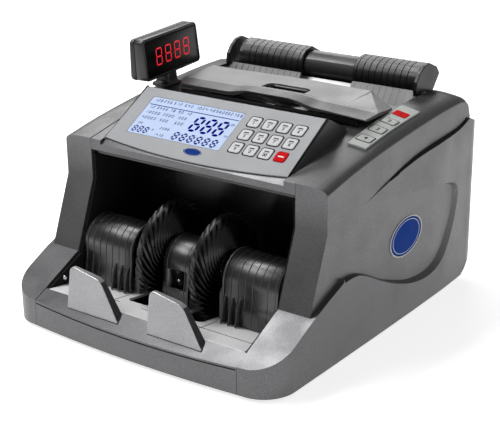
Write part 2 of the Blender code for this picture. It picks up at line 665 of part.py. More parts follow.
def make_hatch(root):
    """Liftable cover in front of the hopper, hinged along its rear edge."""
    profile = [(88.0, 158.8), (87.2, 161.0), (87.4, 162.4), (100.0, 164.6), (144.4, 163.8),
               (146.0, 162.8), (146.0, 161.4), (100.0, 161.8), (91.4, 158.8)]
    hatch = prism("hopper_cover", profile, "X", *HATCH_X, "casing_grey", root)
    plan = [(-77.5, 80.0), (HATCH_X[1] + 1.0, 80.0), (HATCH_X[1] + 1.0, 127.0), (70.0, 146.5),
            (70.0, 150.0), (-89.0, 150.0)]
    boolean(hatch, prism("hatch_plan", plan, "Z", 150.0, 175.0, "casing_grey", root), "INTERSECT")
    x, y = KNOB_CENTRE
    slot = prism("hatch_slot", rounded(*HATCH_SLOT, 5.5, 4), "Z", 150.0, 175.0, "casing_grey", root)
    boolean(hatch, slot, "DIFFERENCE")
    pivot(hatch, (0.0, *HATCH_HINGE))
    knob = prism("gap_adjust_knob", [(x + r * math.cos(t), y + r * math.sin(t)) for r, t in
                                     ((7.4 if k % 2 else 8.2, math.radians(10.0 * k))
                                      for k in range(36))],
                 "Z", 156.0, 161.4, "black_plastic", root)
    pivot(knob, (x, y, 156.0))


def make_hopper(root):
    """Rear bar, floor plate and the two guides that slide along the bar."""
    web = [(192.0, 134.8), (199.4, 134.8), (199.8, 152.0)]
    bar = web + list(BAR) + [(182.4, 158.6), (190.0, 152.0)]
    prism("hopper_bar", bar, "X", *BAR_X, "black_plastic", root, True)
    floor = [(150.4, 117.4), (183.0, 156.0), (181.6, 157.2), (149.0, 118.6)]
    prism("hopper_floor", floor, "X", -89.4, 89.4, "silver_sheet", root)
    sleeve = list(SLEEVE) + [(150.0, 122.6), (151.2, 121.6), (177.2, 159.4)] + list(reversed(BORE))
    ramp = [(175.6, 161.6), (150.0, 122.6), (151.2, 121.6), (177.2, 159.4)]
    for side, (lo, hi) in GUIDE_SPANS.items():
        near, far = SLEEVE_SPANS[side]
        guide = prism("hopper_guide_" + side, sleeve, "X", near, far, "black_plastic", root)
        if side == "left":
            low_plate = prism("guide_ramp", ramp, "X", lo + 0.1, near + 1.0, "black_plastic", root)
            boolean(guide, low_plate, "UNION")
            plug = list(SLEEVE) + [(182.0, 159.8), (196.0, 158.8)]
            boolean(guide, prism("sleeve_plug", plug, "X", near, near + CAP_T, "black_plastic", root),
                    "UNION")
        span = (lo, lo + CAP_T) if side == "left" else (hi - CAP_T, hi)
        cap = prism("guide_cap_" + side, FENCE, "X", *span, "black_plastic", root)
        boolean(guide, cap, "UNION")


def make_paddles(root):
    """Two note stop plates that slide together up the sloping strip."""
    lift = 0.6
    base_front, base_rear = -68.8, -60.2
    section = [(base_front, shoulder_z(base_front) + lift), (base_rear, shoulder_z(base_rear) + lift),
               (-58.6, 52.0), (-60.0, 54.8), (-62.6, 54.8), (-63.6, 53.2)]
    for number, left in enumerate(PADDLE_LEFTS):
        name = "stop_plate_" + ("left", "right")[number]
        right = left + PADDLE_WIDTH
        front = ([(left, 15.0), (right + 6.6, 15.0), (left + 34.6, 45.0)]
                 + [(left + 33.0, 47.2), (left + 30.6, 49.4), (left + 27.0, 51.0),
                    (left + 4.6, 54.5), (left + 1.6, 53.8), (left, 51.4)])
        paddle = prism(name, section, "X", left, right, "casing_grey", root)
        shape = prism(name + "_outline", front, "Y", -90.0, -40.0, "casing_grey", root)
        boolean(paddle, shape, "INTERSECT")
        middle = left + PADDLE_WIDTH / 2.0
        stem = [(-67.6, 17.0), (-65.4, 17.0), (-65.4, 26.8), (-67.6, 25.6)]
        leg = prism(name + "_stem", stem, "X", middle - 8.0, middle + 8.0, "casing_grey", root)
        boolean(paddle, leg, "UNION")
        pivot(paddle, (middle, -66.5, 23.4))


def make_rear_cover(root):
    """Rear wall between the side covers, with the opening for the power inlet."""
    rear = [p for p in side_profile() if 205.0 < p[0]]
    outline = [(205.0, 0.0)] + rear + [(204.0, 146.0), (201.0, 146.0)]
    inner = [(204.6, 137.4), (205.2, 133.6), (218.2, 129.0), (225.0, 103.4), (228.9, 66.0),
             (227.5, 45.6), (222.3, 21.4), (208.6, 6.0), (203.0, 2.4), (203.0, 0.0)]
    edge = SEAM_X - GAP
    cover = prism("rear_cover", outline + inner, "X", -edge, edge, "casing_grey", root)
    opening = block("inlet_hole", (-78.0, 215.0, 26.6), (-18.4, 240.0, 48.4), "casing_grey", root)
    boolean(cover, opening, "DIFFERENCE")


def make_electrics(root):
    """Power inlet with its rocker switch, and the main board."""
    inlet = block("power_inlet", (-77.6, 208.0, 27.0), (-18.8, 232.0, 48.0), "black_plastic", root)
    boolean(inlet, block("inlet_socket", (-74.6, 218.0, 30.0), (-51.4, 240.0, 45.0),
                         "black_plastic", root), "DIFFERENCE")
    boolean(inlet, block("switch_opening", (-36.6, 222.0, 30.0), (-21.8, 240.0, 45.0),
                         "black_plastic", root), "DIFFERENCE")
    rocker = [(223.6, 31.6), (229.6, 31.6), (228.4, 37.5), (231.4, 43.4), (225.4, 43.4)]
    key = prism("power_rocker", rocker, "X", -36.0, -22.4, "key_red", root)
    pivot(key, (-29.2, 226.4, 37.5))
    block("main_board", (-86.0, 196.5, 22.0), (86.0, 198.1, 108.0), "board_green", root)


def main():
    clear_scene()
    root = machine_empty()
    make_base(root)
    make_side_cover("side_cover_left", -1, root)
    make_side_cover("side_cover_right", 1, root)
    make_apron(root)
    make_tray(root)
    make_pocket(root)
    make_shells(root)
    make_fans(root)
    make_drive(root)
    make_top_cover(root)
    make_panel(root)
    make_key_strip(root)
    make_display(root)
    make_hatch(root)
    make_hopper(root)
    make_paddles(root)
    make_rear_cover(root)
    make_electrics(root)


main()
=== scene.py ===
import json
import math

import bmesh
import bpy
from mathutils import Matrix, Vector


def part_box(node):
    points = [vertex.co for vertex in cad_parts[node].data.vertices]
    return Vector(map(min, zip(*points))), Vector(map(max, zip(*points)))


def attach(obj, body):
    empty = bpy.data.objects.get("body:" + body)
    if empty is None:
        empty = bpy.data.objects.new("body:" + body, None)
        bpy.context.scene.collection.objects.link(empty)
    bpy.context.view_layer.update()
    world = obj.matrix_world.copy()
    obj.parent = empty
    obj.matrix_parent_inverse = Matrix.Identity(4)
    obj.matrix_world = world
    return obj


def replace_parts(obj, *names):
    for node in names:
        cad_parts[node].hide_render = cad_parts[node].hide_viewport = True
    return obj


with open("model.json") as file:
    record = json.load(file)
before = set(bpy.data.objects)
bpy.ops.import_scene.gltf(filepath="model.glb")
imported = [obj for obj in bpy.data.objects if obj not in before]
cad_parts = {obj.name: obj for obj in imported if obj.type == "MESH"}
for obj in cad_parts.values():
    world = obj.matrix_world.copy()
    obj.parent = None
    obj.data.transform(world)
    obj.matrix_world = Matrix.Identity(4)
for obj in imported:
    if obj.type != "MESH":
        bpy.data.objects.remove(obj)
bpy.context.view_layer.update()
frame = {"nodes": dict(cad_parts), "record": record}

MM = 0.001
NODES = frame["nodes"]
BODY_OF = {node: body for body, nodes in frame["record"]["behaviour"]["bodies"].items() for node in nodes}

# Places below are in millimetres: x to the operator's right, y to the rear from the front face
# of the pillars, z up from the underside of the casing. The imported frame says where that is.
ORIGIN = Vector((0.0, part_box("top_cover")[0][1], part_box("base_plate")[0][2]))


def at(x, y, z):
    """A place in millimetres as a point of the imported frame."""
    return ORIGIN + Vector((x, y, z)) * MM


# ---------------------------------------------------------------- materials

def node_tree(name):
    """A new material with its nodes, links and surface shader."""
    made = bpy.data.materials.new(name)
    made.use_nodes = True
    return made, made.node_tree.nodes, made.node_tree.links, made.node_tree.nodes["Principled BSDF"]


def noise(nodes, links, scale, detail=3.0, stretch=(1.0, 1.0, 1.0)):
    """A noise texture in object space, stretched along an axis where asked."""
    coords = nodes.new("ShaderNodeTexCoord")
    mapping = nodes.new("ShaderNodeMapping")
    mapping.inputs["Scale"].default_value = stretch
    texture = nodes.new("ShaderNodeTexNoise")
    texture.inputs["Scale"].default_value = scale
    texture.inputs["Detail"].default_value = detail
    links.new(coords.outputs["Object"], mapping.inputs["Vector"])
    links.new(mapping.outputs["Vector"], texture.inputs["Vector"])
    return texture.outputs["Fac"]


def ramp(nodes, links, source, low, high):
    """Two colours (or grey values) picked by a texture."""
    made = nodes.new("ShaderNodeValToRGB")
    for element, place, value in zip(made.color_ramp.elements, (0.35, 0.65), (low, high)):
        rgb = value if isinstance(value, tuple) else (value, value, value)
        element.position = place
        element.color = (*rgb, 1.0)
    links.new(source, made.inputs["Fac"])
    return made.outputs["Color"]


def shade(colour, factor):
    return tuple(min(1.0, channel * factor) for channel in colour)


def plastic(name, colour, roughness, metallic=0.0, fleck=0.1, scale=1600.0, grain=0.05,
            stretch=(1.0, 1.0, 1.0), spread=0.06, specular=0.5, coat=0.0):
    """Moulded or painted surface: fine fleck, uneven gloss and a slight grain."""
    made, nodes, links, shader = node_tree(name)
    fine = noise(nodes, links, scale, 2.0, stretch)
    links.new(ramp(nodes, links, fine, shade(colour, 1.0 - fleck), shade(colour, 1.0 + fleck)),
              shader.inputs["Base Color"])
    broad = noise(nodes, links, 40.0, 4.0)
    links.new(ramp(nodes, links, broad, roughness - spread, roughness + spread),
              shader.inputs["Roughness"])
    bump = nodes.new("ShaderNodeBump")
    bump.inputs["Strength"].default_value = grain
    bump.inputs["Distance"].default_value = 0.0002
    links.new(fine, bump.inputs["Height"])
    links.new(bump.outputs["Normal"], shader.inputs["Normal"])
    shader.inputs["Metallic"].default_value = metallic
    shader.inputs["Coat Weight"].default_value = coat
    shader.inputs["Specular IOR Level"].default_value = specular
    return made


def glowing(name, colour, strength):
    """A lit segment: its own colour, slightly uneven, and a glow."""
    made, nodes, links, shader = node_tree(name)
    cloud = noise(nodes, links, 600.0)
    tint = ramp(nodes, links, cloud, shade(colour, 0.85), colour)
    links.new(tint, shader.inputs["Base Color"])
    links.new(tint, shader.inputs["Emission Color"])
    shader.inputs["Emission Strength"].default_value = strength
    shader.inputs["Roughness"].default_value = 0.4
    return made


PAINT = plastic("casing_paint", (0.12, 0.12, 0.124), 0.36, 0.65, 0.2, 1400.0, 0.06)
# Lighter copy of the casing paint for the hatch: painted light on its flat top.
LIT_HATCH_PAINT = plastic("hatch_painted_light", (0.22, 0.22, 0.225), 0.42, 0.4, 0.15, 1400.0)
RAMP_GREY = plastic("ramp_grey", (0.22, 0.225, 0.22), 0.45, 0.1, 0.06, 1500.0, 0.03)
# Darker copy of the casing paint for faces turned from the light, the hatch's front band and a stop
# plate's end: painted shade.
SHADE_PAINT = plastic("painted_shade_paint", (0.07, 0.07, 0.073), 0.4, 0.5, 0.15, 1400.0)
# Near-white copy of the paint for a stop plate's bevels: painted highlight.
HIGHLIGHT_PAINT = plastic("painted_highlight_paint", (0.6, 0.6, 0.61), 0.3, 0.5, 0.1, 1400.0, 0.04)
# Lighter copy of the casing paint for the stop plates: painted reflection of the light above the front.
LIT_PLATE_PAINT = plastic("stop_plate_painted_reflection", (0.36, 0.36, 0.37), 0.36, 0.4, 0.15, 1400.0, 0.06)
TRAY_PAINT = plastic("tray_paint", (0.86, 0.86, 0.87), 0.4, 0.1, 0.1, 1400.0)
OVERLAY = plastic("overlay_film", (0.36, 0.37, 0.385), 0.5, 0.0, 0.04, 2200.0, 0.03,
                  specular=0.3)
LCD_GLASS = plastic("lcd_glass", (0.56, 0.68, 0.94), 0.5, 0.0, 0.02, 300.0, 0.0, specular=0.1)
LCD_INK = plastic("lcd_ink", (0.001, 0.001, 0.2), 0.8, 0.0, 0.1, 900.0, 0.0, specular=0.0)
KEY_WHITE = plastic("key_white", (0.66, 0.66, 0.67), 0.5, 0.0, 0.03, 1500.0, 0.02,
                    specular=0.2)
KEY_RED = plastic("key_red", (0.62, 0.003, 0.005), 0.6, 0.0, 0.06, 1500.0, 0.02, specular=0.04)
KEY_GREY = plastic("key_grey", (0.42, 0.44, 0.42), 0.42, 0.1, 0.05, 1500.0, 0.03)
INK = plastic("print_ink", (0.012, 0.012, 0.014), 0.6, 0.0, 0.1, 900.0, 0.0, specular=0.1)
WHITE_INK = plastic("white_ink", (0.8, 0.8, 0.8), 0.5, 0.0, 0.05, 900.0, 0.0)
BADGE_BLUE = plastic("badge_blue", (0.001, 0.034, 0.22), 0.6, 0.0, 0.06, 700.0, 0.0, specular=0.04)
BLACK = plastic("black_plastic", (0.008, 0.008, 0.009), 0.3, 0.0, 0.15, coat=0.1)
DARK_GREY = plastic("dark_grey_plastic", (0.03, 0.03, 0.032), 0.36, 0.2, 0.12,
                    grain=0.06, coat=0.1)
GLASS_BLACK = plastic("display_glass", (0.002, 0.0015, 0.0015), 0.3, 0.0, 0.1, 300.0, 0.0,
                      spread=0.03, specular=0.12)
LED_RED = glowing("led_red", (0.62, 0.012, 0.022), 1.0)
SHELL_BLACK = plastic("shell_satin", (0.01, 0.01, 0.011), 0.3, grain=0.03, specular=0.9)
# Lighter copy of the shell's black for its ribs and fins: painted highlight on the ridges.
LIT_RIB_GREY = plastic("rib_painted_highlight", (0.07, 0.07, 0.072), 0.3, grain=0.04, specular=0.8)
# Light grey for the upright ledge at a shell's inner end: painted highlight of the bright edge there.
LIT_LEDGE_GREY = plastic("ledge_painted_highlight", (0.2, 0.2, 0.205), 0.4, grain=0.04)
# Matte near-black for real joints and seams, and for painted shade in gaps: under the hatch, along the
# front lip, at the overlay's edge.
SEAM_AND_SHADE = plastic("seam_shadow", (0.012, 0.012, 0.013), 0.7, scale=900.0, grain=0.0,
               specular=0.1)
# Lighter copy of the guide plastic for faces turned up: painted light.
LIT_GUIDE_TOP = plastic("guide_painted_light", (0.13, 0.13, 0.135), 0.45, 0.3)
GUIDE_GREY = plastic("guide_satin", (0.016, 0.016, 0.017), 0.36, 0.35)
RUBBER = plastic("rubber", (0.016, 0.016, 0.017), 0.72, 0.0, 0.2, 900.0, 0.25)
FAN_RUBBER = plastic("fan_rubber", (0.004, 0.004, 0.005), 0.34, 0.0, 0.15, 900.0)
STEEL = plastic("brushed_steel", (0.56, 0.56, 0.57), 0.32, 1.0, 0.06, 600.0, 0.12,
                (1.0, 14.0, 14.0))
CHROME = plastic("screw_chrome", (0.75, 0.75, 0.76), 0.16, 1.0, 0.04, 600.0)
BRASS = plastic("brass_pin", (0.72, 0.5, 0.2), 0.28, 1.0, 0.06, 600.0)
SHEET = plastic("white_sheet", (0.52, 0.52, 0.515), 0.3, 0.35, 0.03, 500.0, 0.04,
                (1.0, 8.0, 8.0))
BOARD = plastic("board_green", (0.02, 0.14, 0.05), 0.45, 0.0, 0.2, 220.0, 0.1, coat=0.3)


# ---------------------------------------------------------------- mesh tools

def piece(name, verts, faces, finish, body="root", smooth=True):
    """A closed mesh from points in millimetres, riding on a body."""
    mesh = bpy.data.meshes.new(name)
    mesh.from_pydata([at(*v) for v in verts], [], faces)
    edit = bmesh.new()
    edit.from_mesh(mesh)
    bmesh.ops.recalc_face_normals(edit, faces=edit.faces)
    edit.to_mesh(mesh)
    edit.free()
    for polygon in mesh.polygons:
        polygon.use_smooth = smooth
    made = bpy.data.objects.new(name, mesh)
    bpy.context.scene.collection.objects.link(made)
    mesh.materials.append(finish)
    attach(made, body)
    return made


def along(axis, a, b, c):
    """The point with value c on the axis and a, b on the other two, in x, y, z order."""
    return {"X": (c, a, b), "Y": (a, c, b), "Z": (a, b, c)}[axis]


def prism_faces(start, count):
    """Two ends and the sides between two rings of count points each, numbered from start."""
    ends = [[start + i for i in range(count)], [start + count + i for i in range(count)]]
    return ends + [[start + i, start + (i + 1) % count, start + count + (i + 1) % count,
                    start + count + i] for i in range(count)]


def prism(name, outline, axis, lo, hi, finish, body="root"):
    """An outline drawn along an axis from lo to hi."""
    verts = [along(axis, a, b, c) for c in (lo, hi) for a, b in outline]
    return piece(name, verts, prism_faces(0, len(outline)), finish, body)


def loft(name, rings, finish, body="root", caps=True):
    """A skin through rings of points, each ring closed, with both ends capped."""
    count = len(rings[0])
    verts = [p for ring in rings for p in ring]
    faces = []
    for k in range(len(rings) - 1):
        for i in range(count):
            j = (i + 1) % count
            faces.append([k * count + i, k * count + j, (k + 1) * count + j, (k + 1) * count + i])
    if caps:
        faces += [list(range(count)), list(range(len(verts) - count, len(verts)))]
    return piece(name, verts, faces, finish, body)


def block(name, low, high, finish):
    (x0, y0, z0), (x1, y1, z1) = low, high
    return prism(name, [(x0, y0), (x1, y0), (x1, y1), (x0, y1)], "Z", z0, z1, finish)


def arc(centre, radius, start, end, count):
    """Points of an arc between two angles in degrees, both ends included."""
    steps = [math.radians(start + (end - start) * i / count) for i in range(count + 1)]
    return [(centre[0] + radius * math.cos(t), centre[1] + radius * math.sin(t)) for t in steps]


def circle(centre, radius, count=32):
    return arc(centre, radius, 0.0, 360.0, count)[:-1]


def rounded(x0, y0, x1, y1, radius, count=5):
    """A rectangle with round corners."""
    points = []
    for cx, cy, start in ((x1 - radius, y0 + radius, -90), (x1 - radius, y1 - radius, 0),
                          (x0 + radius, y1 - radius, 90), (x0 + radius, y0 + radius, 180)):
        points += arc((cx, cy), radius, start, start + 90, count)
    return points


def pad(u, v, half_u, half_v, radius, count=5):
    """A rounded rectangle about its middle."""
    return rounded(u - half_u, v - half_v, u + half_u, v + half_v, radius, count)


def spline(points, steps=4):
    """A smooth open curve through points of any dimension."""
    padded = [points[0]] + list(points) + [points[-1]]
    curve = []
    for before, start, end, after in zip(padded, padded[1:], padded[2:], padded[3:]):
        for k in range(steps):
            t = k / steps
            curve.append(tuple(
                0.5 * (2 * s + (e - b) * t + (2 * b - 5 * s + 4 * e - a) * t ** 2
                       + (3 * s - b - 3 * e + a) * t ** 3)
                for b, s, e, a in zip(before, start, end, after)))
    return curve + [tuple(points[-1])]


def bake(made):
    """Turn the modifiers of an object into its mesh."""
    graph = bpy.context.evaluated_depsgraph_get()
    mesh = bpy.data.meshes.new_from_object(made.evaluated_get(graph))
    old = made.data
    made.modifiers.clear()
    made.data = mesh
    bpy.data.meshes.remove(old)
    mesh.name = made.name


def combine(made, other, operation):
    """Boolean of one piece with another, which is used up."""
    boolean = made.modifiers.new("cut", "BOOLEAN")
    boolean.operation = operation
    boolean.solver = "EXACT"
    boolean.object = other
    bake(made)
    bpy.data.objects.remove(other)


def cut(made, other):
    combine(made, other, "DIFFERENCE")


def soften(made, width=0.8, segments=3, angle=30.0):
    """Rounded edges and clean shading."""
    for polygon in made.data.polygons:
        polygon.use_smooth = True
    bevel = made.modifiers.new("edges", "BEVEL")
    bevel.width = width * MM
    bevel.segments = segments
    bevel.limit_method = "ANGLE"
    bevel.angle_limit = math.radians(angle)
    bevel.miter_outer = "MITER_ARC"
    normals = made.modifiers.new("normals", "WEIGHTED_NORMAL")
    normals.weight = 70
    normals.keep_sharp = True


def repaint(made, finish, test):
    """Give the faces that pass the test a second finish; returns its slot."""
    made.data.materials.append(finish)
    slot = len(made.data.materials) - 1
    for polygon in made.data.polygons:
        if test(polygon):
            polygon.material_index = slot
    return slot


def flatten(made):
    """Flat facets, with the bevel kept."""
    made.modifiers.remove(made.modifiers["normals"])
    for polygon in made.data.polygons:
        polygon.use_smooth = False


def dress(node, finish, width):
    """Give a CAD node its finish, and soft edges where asked."""
    made = NODES[node]
    made.data.materials.clear()
    made.data.materials.append(finish)
    if width:
        weld = made.modifiers.new("weld", "WELD")
        weld.merge_threshold = 0.000005
        soften(made, width, 2)


# ---------------------------------------------------------------- camera, light and floor

CAMERA_AT = (554.1, -669.9, 411.6)
CAMERA_YAW = math.radians(36.55)
CAMERA_PITCH = math.radians(20.17)
CAMERA_ROLL = math.radians(-0.64)
SENSOR = 36.0                   # width of the film, in millimetres
LENS = 88.8264


def make_camera():
    data = bpy.data.cameras.new("camera")
    data.sensor_fit = "HORIZONTAL"
    data.sensor_width = SENSOR
    data.lens = LENS
    data.clip_start = 0.01
    camera = bpy.data.objects.new("camera", data)
    camera.matrix_world = (Matrix.Translation(at(*CAMERA_AT))
                           @ Matrix.Rotation(CAMERA_YAW, 4, "Z")
                           @ Matrix.Rotation(math.pi / 2.0 - CAMERA_PITCH, 4, "X")
                           @ Matrix.Rotation(CAMERA_ROLL, 4, "Z"))
    bpy.context.scene.collection.objects.link(camera)
    bpy.context.scene.camera = camera


def area_light(name, place, target, size, power):
    data = bpy.data.lights.new(name, "AREA")
    data.shape = "RECTANGLE"
    data.size, data.size_y = size
    data.energy = power
    light = bpy.data.objects.new(name, data)
    light.location = place
    light.rotation_euler = (Vector(target) - Vector(place)).to_track_quat("-Z", "Y").to_euler()
    bpy.context.scene.collection.objects.link(light)


def make_studio():
    bpy.context.scene.view_settings.view_transform = "Standard"
    world = bpy.data.worlds.new("studio")
    world.use_nodes = True
    background = world.node_tree.nodes["Background"]
    background.inputs["Color"].default_value = (1.0, 1.0, 1.0, 1.0)
    paths = world.node_tree.nodes.new("ShaderNodeLightPath")
    strength = world.node_tree.nodes.new("ShaderNodeMapRange")
    strength.inputs["To Min"].default_value = 0.2
    strength.inputs["To Max"].default_value = 1.0
    world.node_tree.links.new(paths.outputs["Is Camera Ray"], strength.inputs["Value"])
    world.node_tree.links.new(strength.outputs["Result"], background.inputs["Strength"])
    bpy.context.scene.world = world
    area_light("top", (-0.5, 0.02, 1.15), (0.05, 0.0, 0.05), (0.5, 0.4), 7.0)
    area_light("rear", (-1.0, 1.2, 1.05), (0.0, 0.08, 0.15), (1.2, 0.6), 9.0)
    area_light("front", (-0.85, -0.75, 1.35), (0.0, 0.0, 0.06), (0.8, 0.5), 9.0)
    area_light("side", (1.5, -0.1, 0.7), (0.0, 0.0, 0.08), (0.8, 0.8), 2.5)
    mesh = bpy.data.meshes.new("floor")
    reach = 6.0
    corner_signs = ((-1, -1), (1, -1), (1, 1), (-1, 1))
    mesh.from_pydata([(reach * a, reach * b, 0.0) for a, b in corner_signs], [], [[0, 1, 2, 3]])
    floor = bpy.data.objects.new("floor", mesh)
    finish = plastic("floor", (0.93, 0.93, 0.93), 0.7, 0.0, 0.01, 30.0, 0.0)
    shader = finish.node_tree.nodes["Principled BSDF"]
    shader.inputs["Emission Color"].default_value = (1.0, 1.0, 1.0, 1.0)
    shader.inputs["Emission Strength"].default_value = 0.7
    mesh.materials.append(finish)
    bpy.context.scene.collection.objects.link(floor)


# ---------------------------------------------------------------- CAD nodes that stay

FINISHES = (
    (PAINT, 0.3, "top_cover"),
    (PAINT, 0.6, "rear_cover hopper_cover stop_plate_left stop_plate_right"),
    (PAINT, 0.9, "front_apron"),
    (TRAY_PAINT, 0.4, "stacker_tray"),
    (SEAM_AND_SHADE, 0.0, "pocket_wall_left pocket_wall_right"),
    (BLACK, 0.3, "pocket_lining stacker_shell_left stacker_shell_centre stacker_shell_right"),
    (BLACK, 0.4, "gap_adjust_knob"),
    (BLACK, 0.5, "power_inlet"),
    (OVERLAY, 0.2, "panel_overlay"),
    (LCD_GLASS, 0.0, "lcd_window"),
    (KEY_WHITE, 0.3, " ".join("panel_key_%d" % number for number in range(1, 12))),
    (KEY_RED, 0.3, "panel_key_12"),
    (KEY_RED, 0.4, "power_rocker"),
    (KEY_RED, 0.2, "side_key_1"),
    (KEY_GREY, 0.2, "side_key_strip side_key_2 side_key_3 side_key_4"),
    (DARK_GREY, 0.4, "hopper_bar"),
    (DARK_GREY, 0.5, "display_stalk hopper_guide_left hopper_guide_right"),
    (DARK_GREY, 0.9, "display_housing"),
    (SHEET, 0.2, "hopper_floor"),
    (BOARD, 0.0, "main_board"),
    (STEEL, 0.0, "motor_rotor fan_shaft"),
    (STEEL, 0.2, "frame_plate_left frame_plate_right"),
    (STEEL, 0.4, "base_plate"),
    (STEEL, 0.8, "main_motor"),
    (RUBBER, 0.0, "drive_belt"),
    (RUBBER, 0.5, "feed_shaft pickup_shaft retard_block"),
    (RUBBER, 0.8, "foot_front_left foot_front_right foot_rear_left foot_rear_right"),
    (FAN_RUBBER, 0.0, "fan_wheel_left fan_wheel_right"))


def dress_frame():
    for finish, width, nodes in FINISHES:
        for node in nodes.split():
            dress(node, finish, width)


# ---------------------------------------------------------------- side covers

SEAM_X = 97.0
WALL_X = 123.8                  # plane of the pillars and of the leaf
BODY_X = 127.4                  # lower body
SHOULDER_SLOPE = 0.484
ROOF = ((0.0, 133.7, 132.2), (35.0, 141.2, 139.4), (70.0, 148.0, 144.6), (102.0, 153.8, 148.4),
        (140.0, 157.0, 152.0), (171.0, 158.4, 154.2), (195.0, 158.4, 155.0))
REAR = ((205.0, 0.0), (211.0, 4.0), (219.0, 11.5), (225.5, 22.0), (230.0, 42.0), (231.6, 62.0),
        (230.6, 85.0), (227.4, 106.0), (223.5, 123.0), (219.0, 132.5))


def shoulder_z(y):
    """Height of the sloping shoulder that runs back from the front lip."""
    return 22.8 + SHOULDER_SLOPE * (y + 67.4)


def front_y(x):
    """Front face of the casing, which bulges in the middle."""
    return -70.6 - 4.6 * (1.0 - (x / 101.3) ** 2)


def upper_casing(name, side):
    """Pillar and roof edge, from the seam out to the plane of the pillars."""
    crown = [(p[0], p[1] + 0.35) for p in spline([(y, seam) for y, seam, _ in ROOF], 3)]
    drops = [seam - edge for y, seam, edge in spline(ROOF, 3)]
    rings = []
    for x, fall, fillet in ((SEAM_X, 0.0, 0.0), (105.0, 0.16, 0.0), (113.0, 0.44, 0.0),
                            (118.0, 0.7, 0.1), (120.6, 0.85, 0.5), (122.4, 0.95, 1.3),
                            (123.4, 1.0, 2.4), (WALL_X, 1.0, 3.8)):
        roof = [(side * x, y, z - drop * fall - fillet) for (y, z), drop in zip(crown, drops)]
        tail = [(side * x, 203.5, 156.6 - fillet - 3.4 * fall), (side * x, 208.0, 150.0 - fillet),
                (side * x, 211.0, 138.0), (side * x, 211.0, 3.0)]
        front = [(side * x, -66.0, 3.0), (side * x, -66.0, shoulder_z(-66.0) - 2.0),
                 (side * x, -23.8, 40.2), (side * x, -21.5, 45.0), (side * x, 0.0, 100.4)]
        rings.append(front + roof + tail)
    return loft(name, rings, PAINT)


LEAF = ((18.0, 60.4, 0.4), (34.0, 60.4, 0.7), (48.0, 55.8, 1.0), (70.0, 44.6, 1.3),
        (93.0, 34.8, 1.7), (117.0, 27.4, 2.2), (141.0, 25.2, 3.5), (157.0, 28.4, 4.8),
        (168.0, 36.5, 6.4), (176.5, 48.5, 7.0), (183.5, 62.0, 6.6), (188.0, 75.0, 5.0),
        (187.6, 82.6, 3.6), (181.0, 87.6, 2.4), (165.0, 91.6, 1.6), (130.0, 96.8, 1.3),
        (96.0, 102.0, 1.0), (58.0, 107.4, 0.8))


def leaf_cutter(side):
    """The leaf-shaped recess: its floor lies in the plane of the pillars, its wall is drafted."""
    curve = spline(LEAF, 3)
    floor, rim = [], []
    for i, (y, z, draft) in enumerate(curve):
        before, after = curve[max(i - 1, 0)], curve[min(i + 1, len(curve) - 1)]
        run = Vector((after[0] - before[0], after[1] - before[1])).normalized()
        floor.append((side * WALL_X, y, z))
        reach = draft * 1.45
        rim.append((side * (WALL_X + 5.2), y + run.y * reach, z - run.x * reach))
    closing = [(40.0, 110.0), (10.0, 100.0)]
    floor += [(side * WALL_X, y, z) for y, z in closing]
    rim += [(side * (WALL_X + 5.2), y, z) for y, z in closing]
    return loft("leaf_cutter", [floor, rim], PAINT)


def side_cover(side, name, node):
    """One moulding: lower body with the leaf recess, pillar and roof edge, cut to the plan."""
    plan = ([(SEAM_X, 232.0), (SEAM_X, front_y(SEAM_X))]
            + arc((BODY_X - 26.0, -70.6 + 26.0), 26.0, -90, 0, 14)
            + [(127.8, 0.0), (128.0, 60.0), (127.9, 120.0), (127.2, 170.0), (125.6, 205.0)]
            + arc((107.0, 213.0), 18.6, 0, 90, 9))
    groove = spline([(208.5, 136.6), (189.0, 131.4), (150.0, 128.2), (118.0, 124.6), (80.0, 117.0),
                     (46.0, 107.6)], 3)
    outline = ([(-90.0, 0.0)] + list(REAR) + groove + [(30.0, 84.0), (16.0, 60.2)]
               + [(-2.0, 53.6), (-25.0, 44.4), (-90.0, shoulder_z(-90.0))])
    lower = prism(name, outline, "X", side * SEAM_X, side * 130.0, PAINT)
    ramp = prism("ramp", [(side * 123.2, 36.0), (side * 125.2, 90.0), (side * 127.0, 140.0),
                          (side * 128.2, 175.0), (side * 140.0, 175.0), (side * 140.0, 36.0)],
                 "Z", 92.0, 145.0, PAINT)
    cut(lower, ramp)
    cut(lower, leaf_cutter(side))
    upper = upper_casing("upper", side)
    combine(lower, upper, "UNION")
    shape = prism("plan", [(side * x, y) for x, y in plan], "Z", -5.0, 170.0, PAINT)
    combine(lower, shape, "INTERSECT")
    band = spline([(206.0, 138.4), (189.0, 133.0), (150.0, 130.0), (118.0, 126.6), (84.0, 119.0)], 3)
    under = spline([(84.0, 117.6), (118.0, 123.6), (150.0, 127.2), (189.0, 130.6), (206.0, 134.6)], 3)
    cut(lower, prism("groove", band + under, "X", side * 122.2, side * 125.4, PAINT))
    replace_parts(lower, node)
    soften(lower, 1.1, 3, 26.0)


# ---------------------------------------------------------------- panel

PANEL_FRONT = (0.6, 132.3)
PANEL_ANGLE = math.radians(30.2)
PANEL_HALF = (86.5, 83.5)        # half width of the overlay at its front and rear edges
PANEL_LENGTH = 64.8
LCD = (-72.0, 15.6, 18.5, 56.0)
KEY_COLUMNS = (31.0, 44.4, 57.8, 71.2)
KEY_ROWS = (49.1, 35.5, 21.9)
KEY_HALF = 4.9


def panel(u, v, h):
    """Place of a point of the sloping panel: u to the right, v up the slope, h above it."""
    c, s = math.cos(PANEL_ANGLE), math.sin(PANEL_ANGLE)
    return (u, PANEL_FRONT[0] + v * c - h * s, PANEL_FRONT[1] + v * s + h * c)


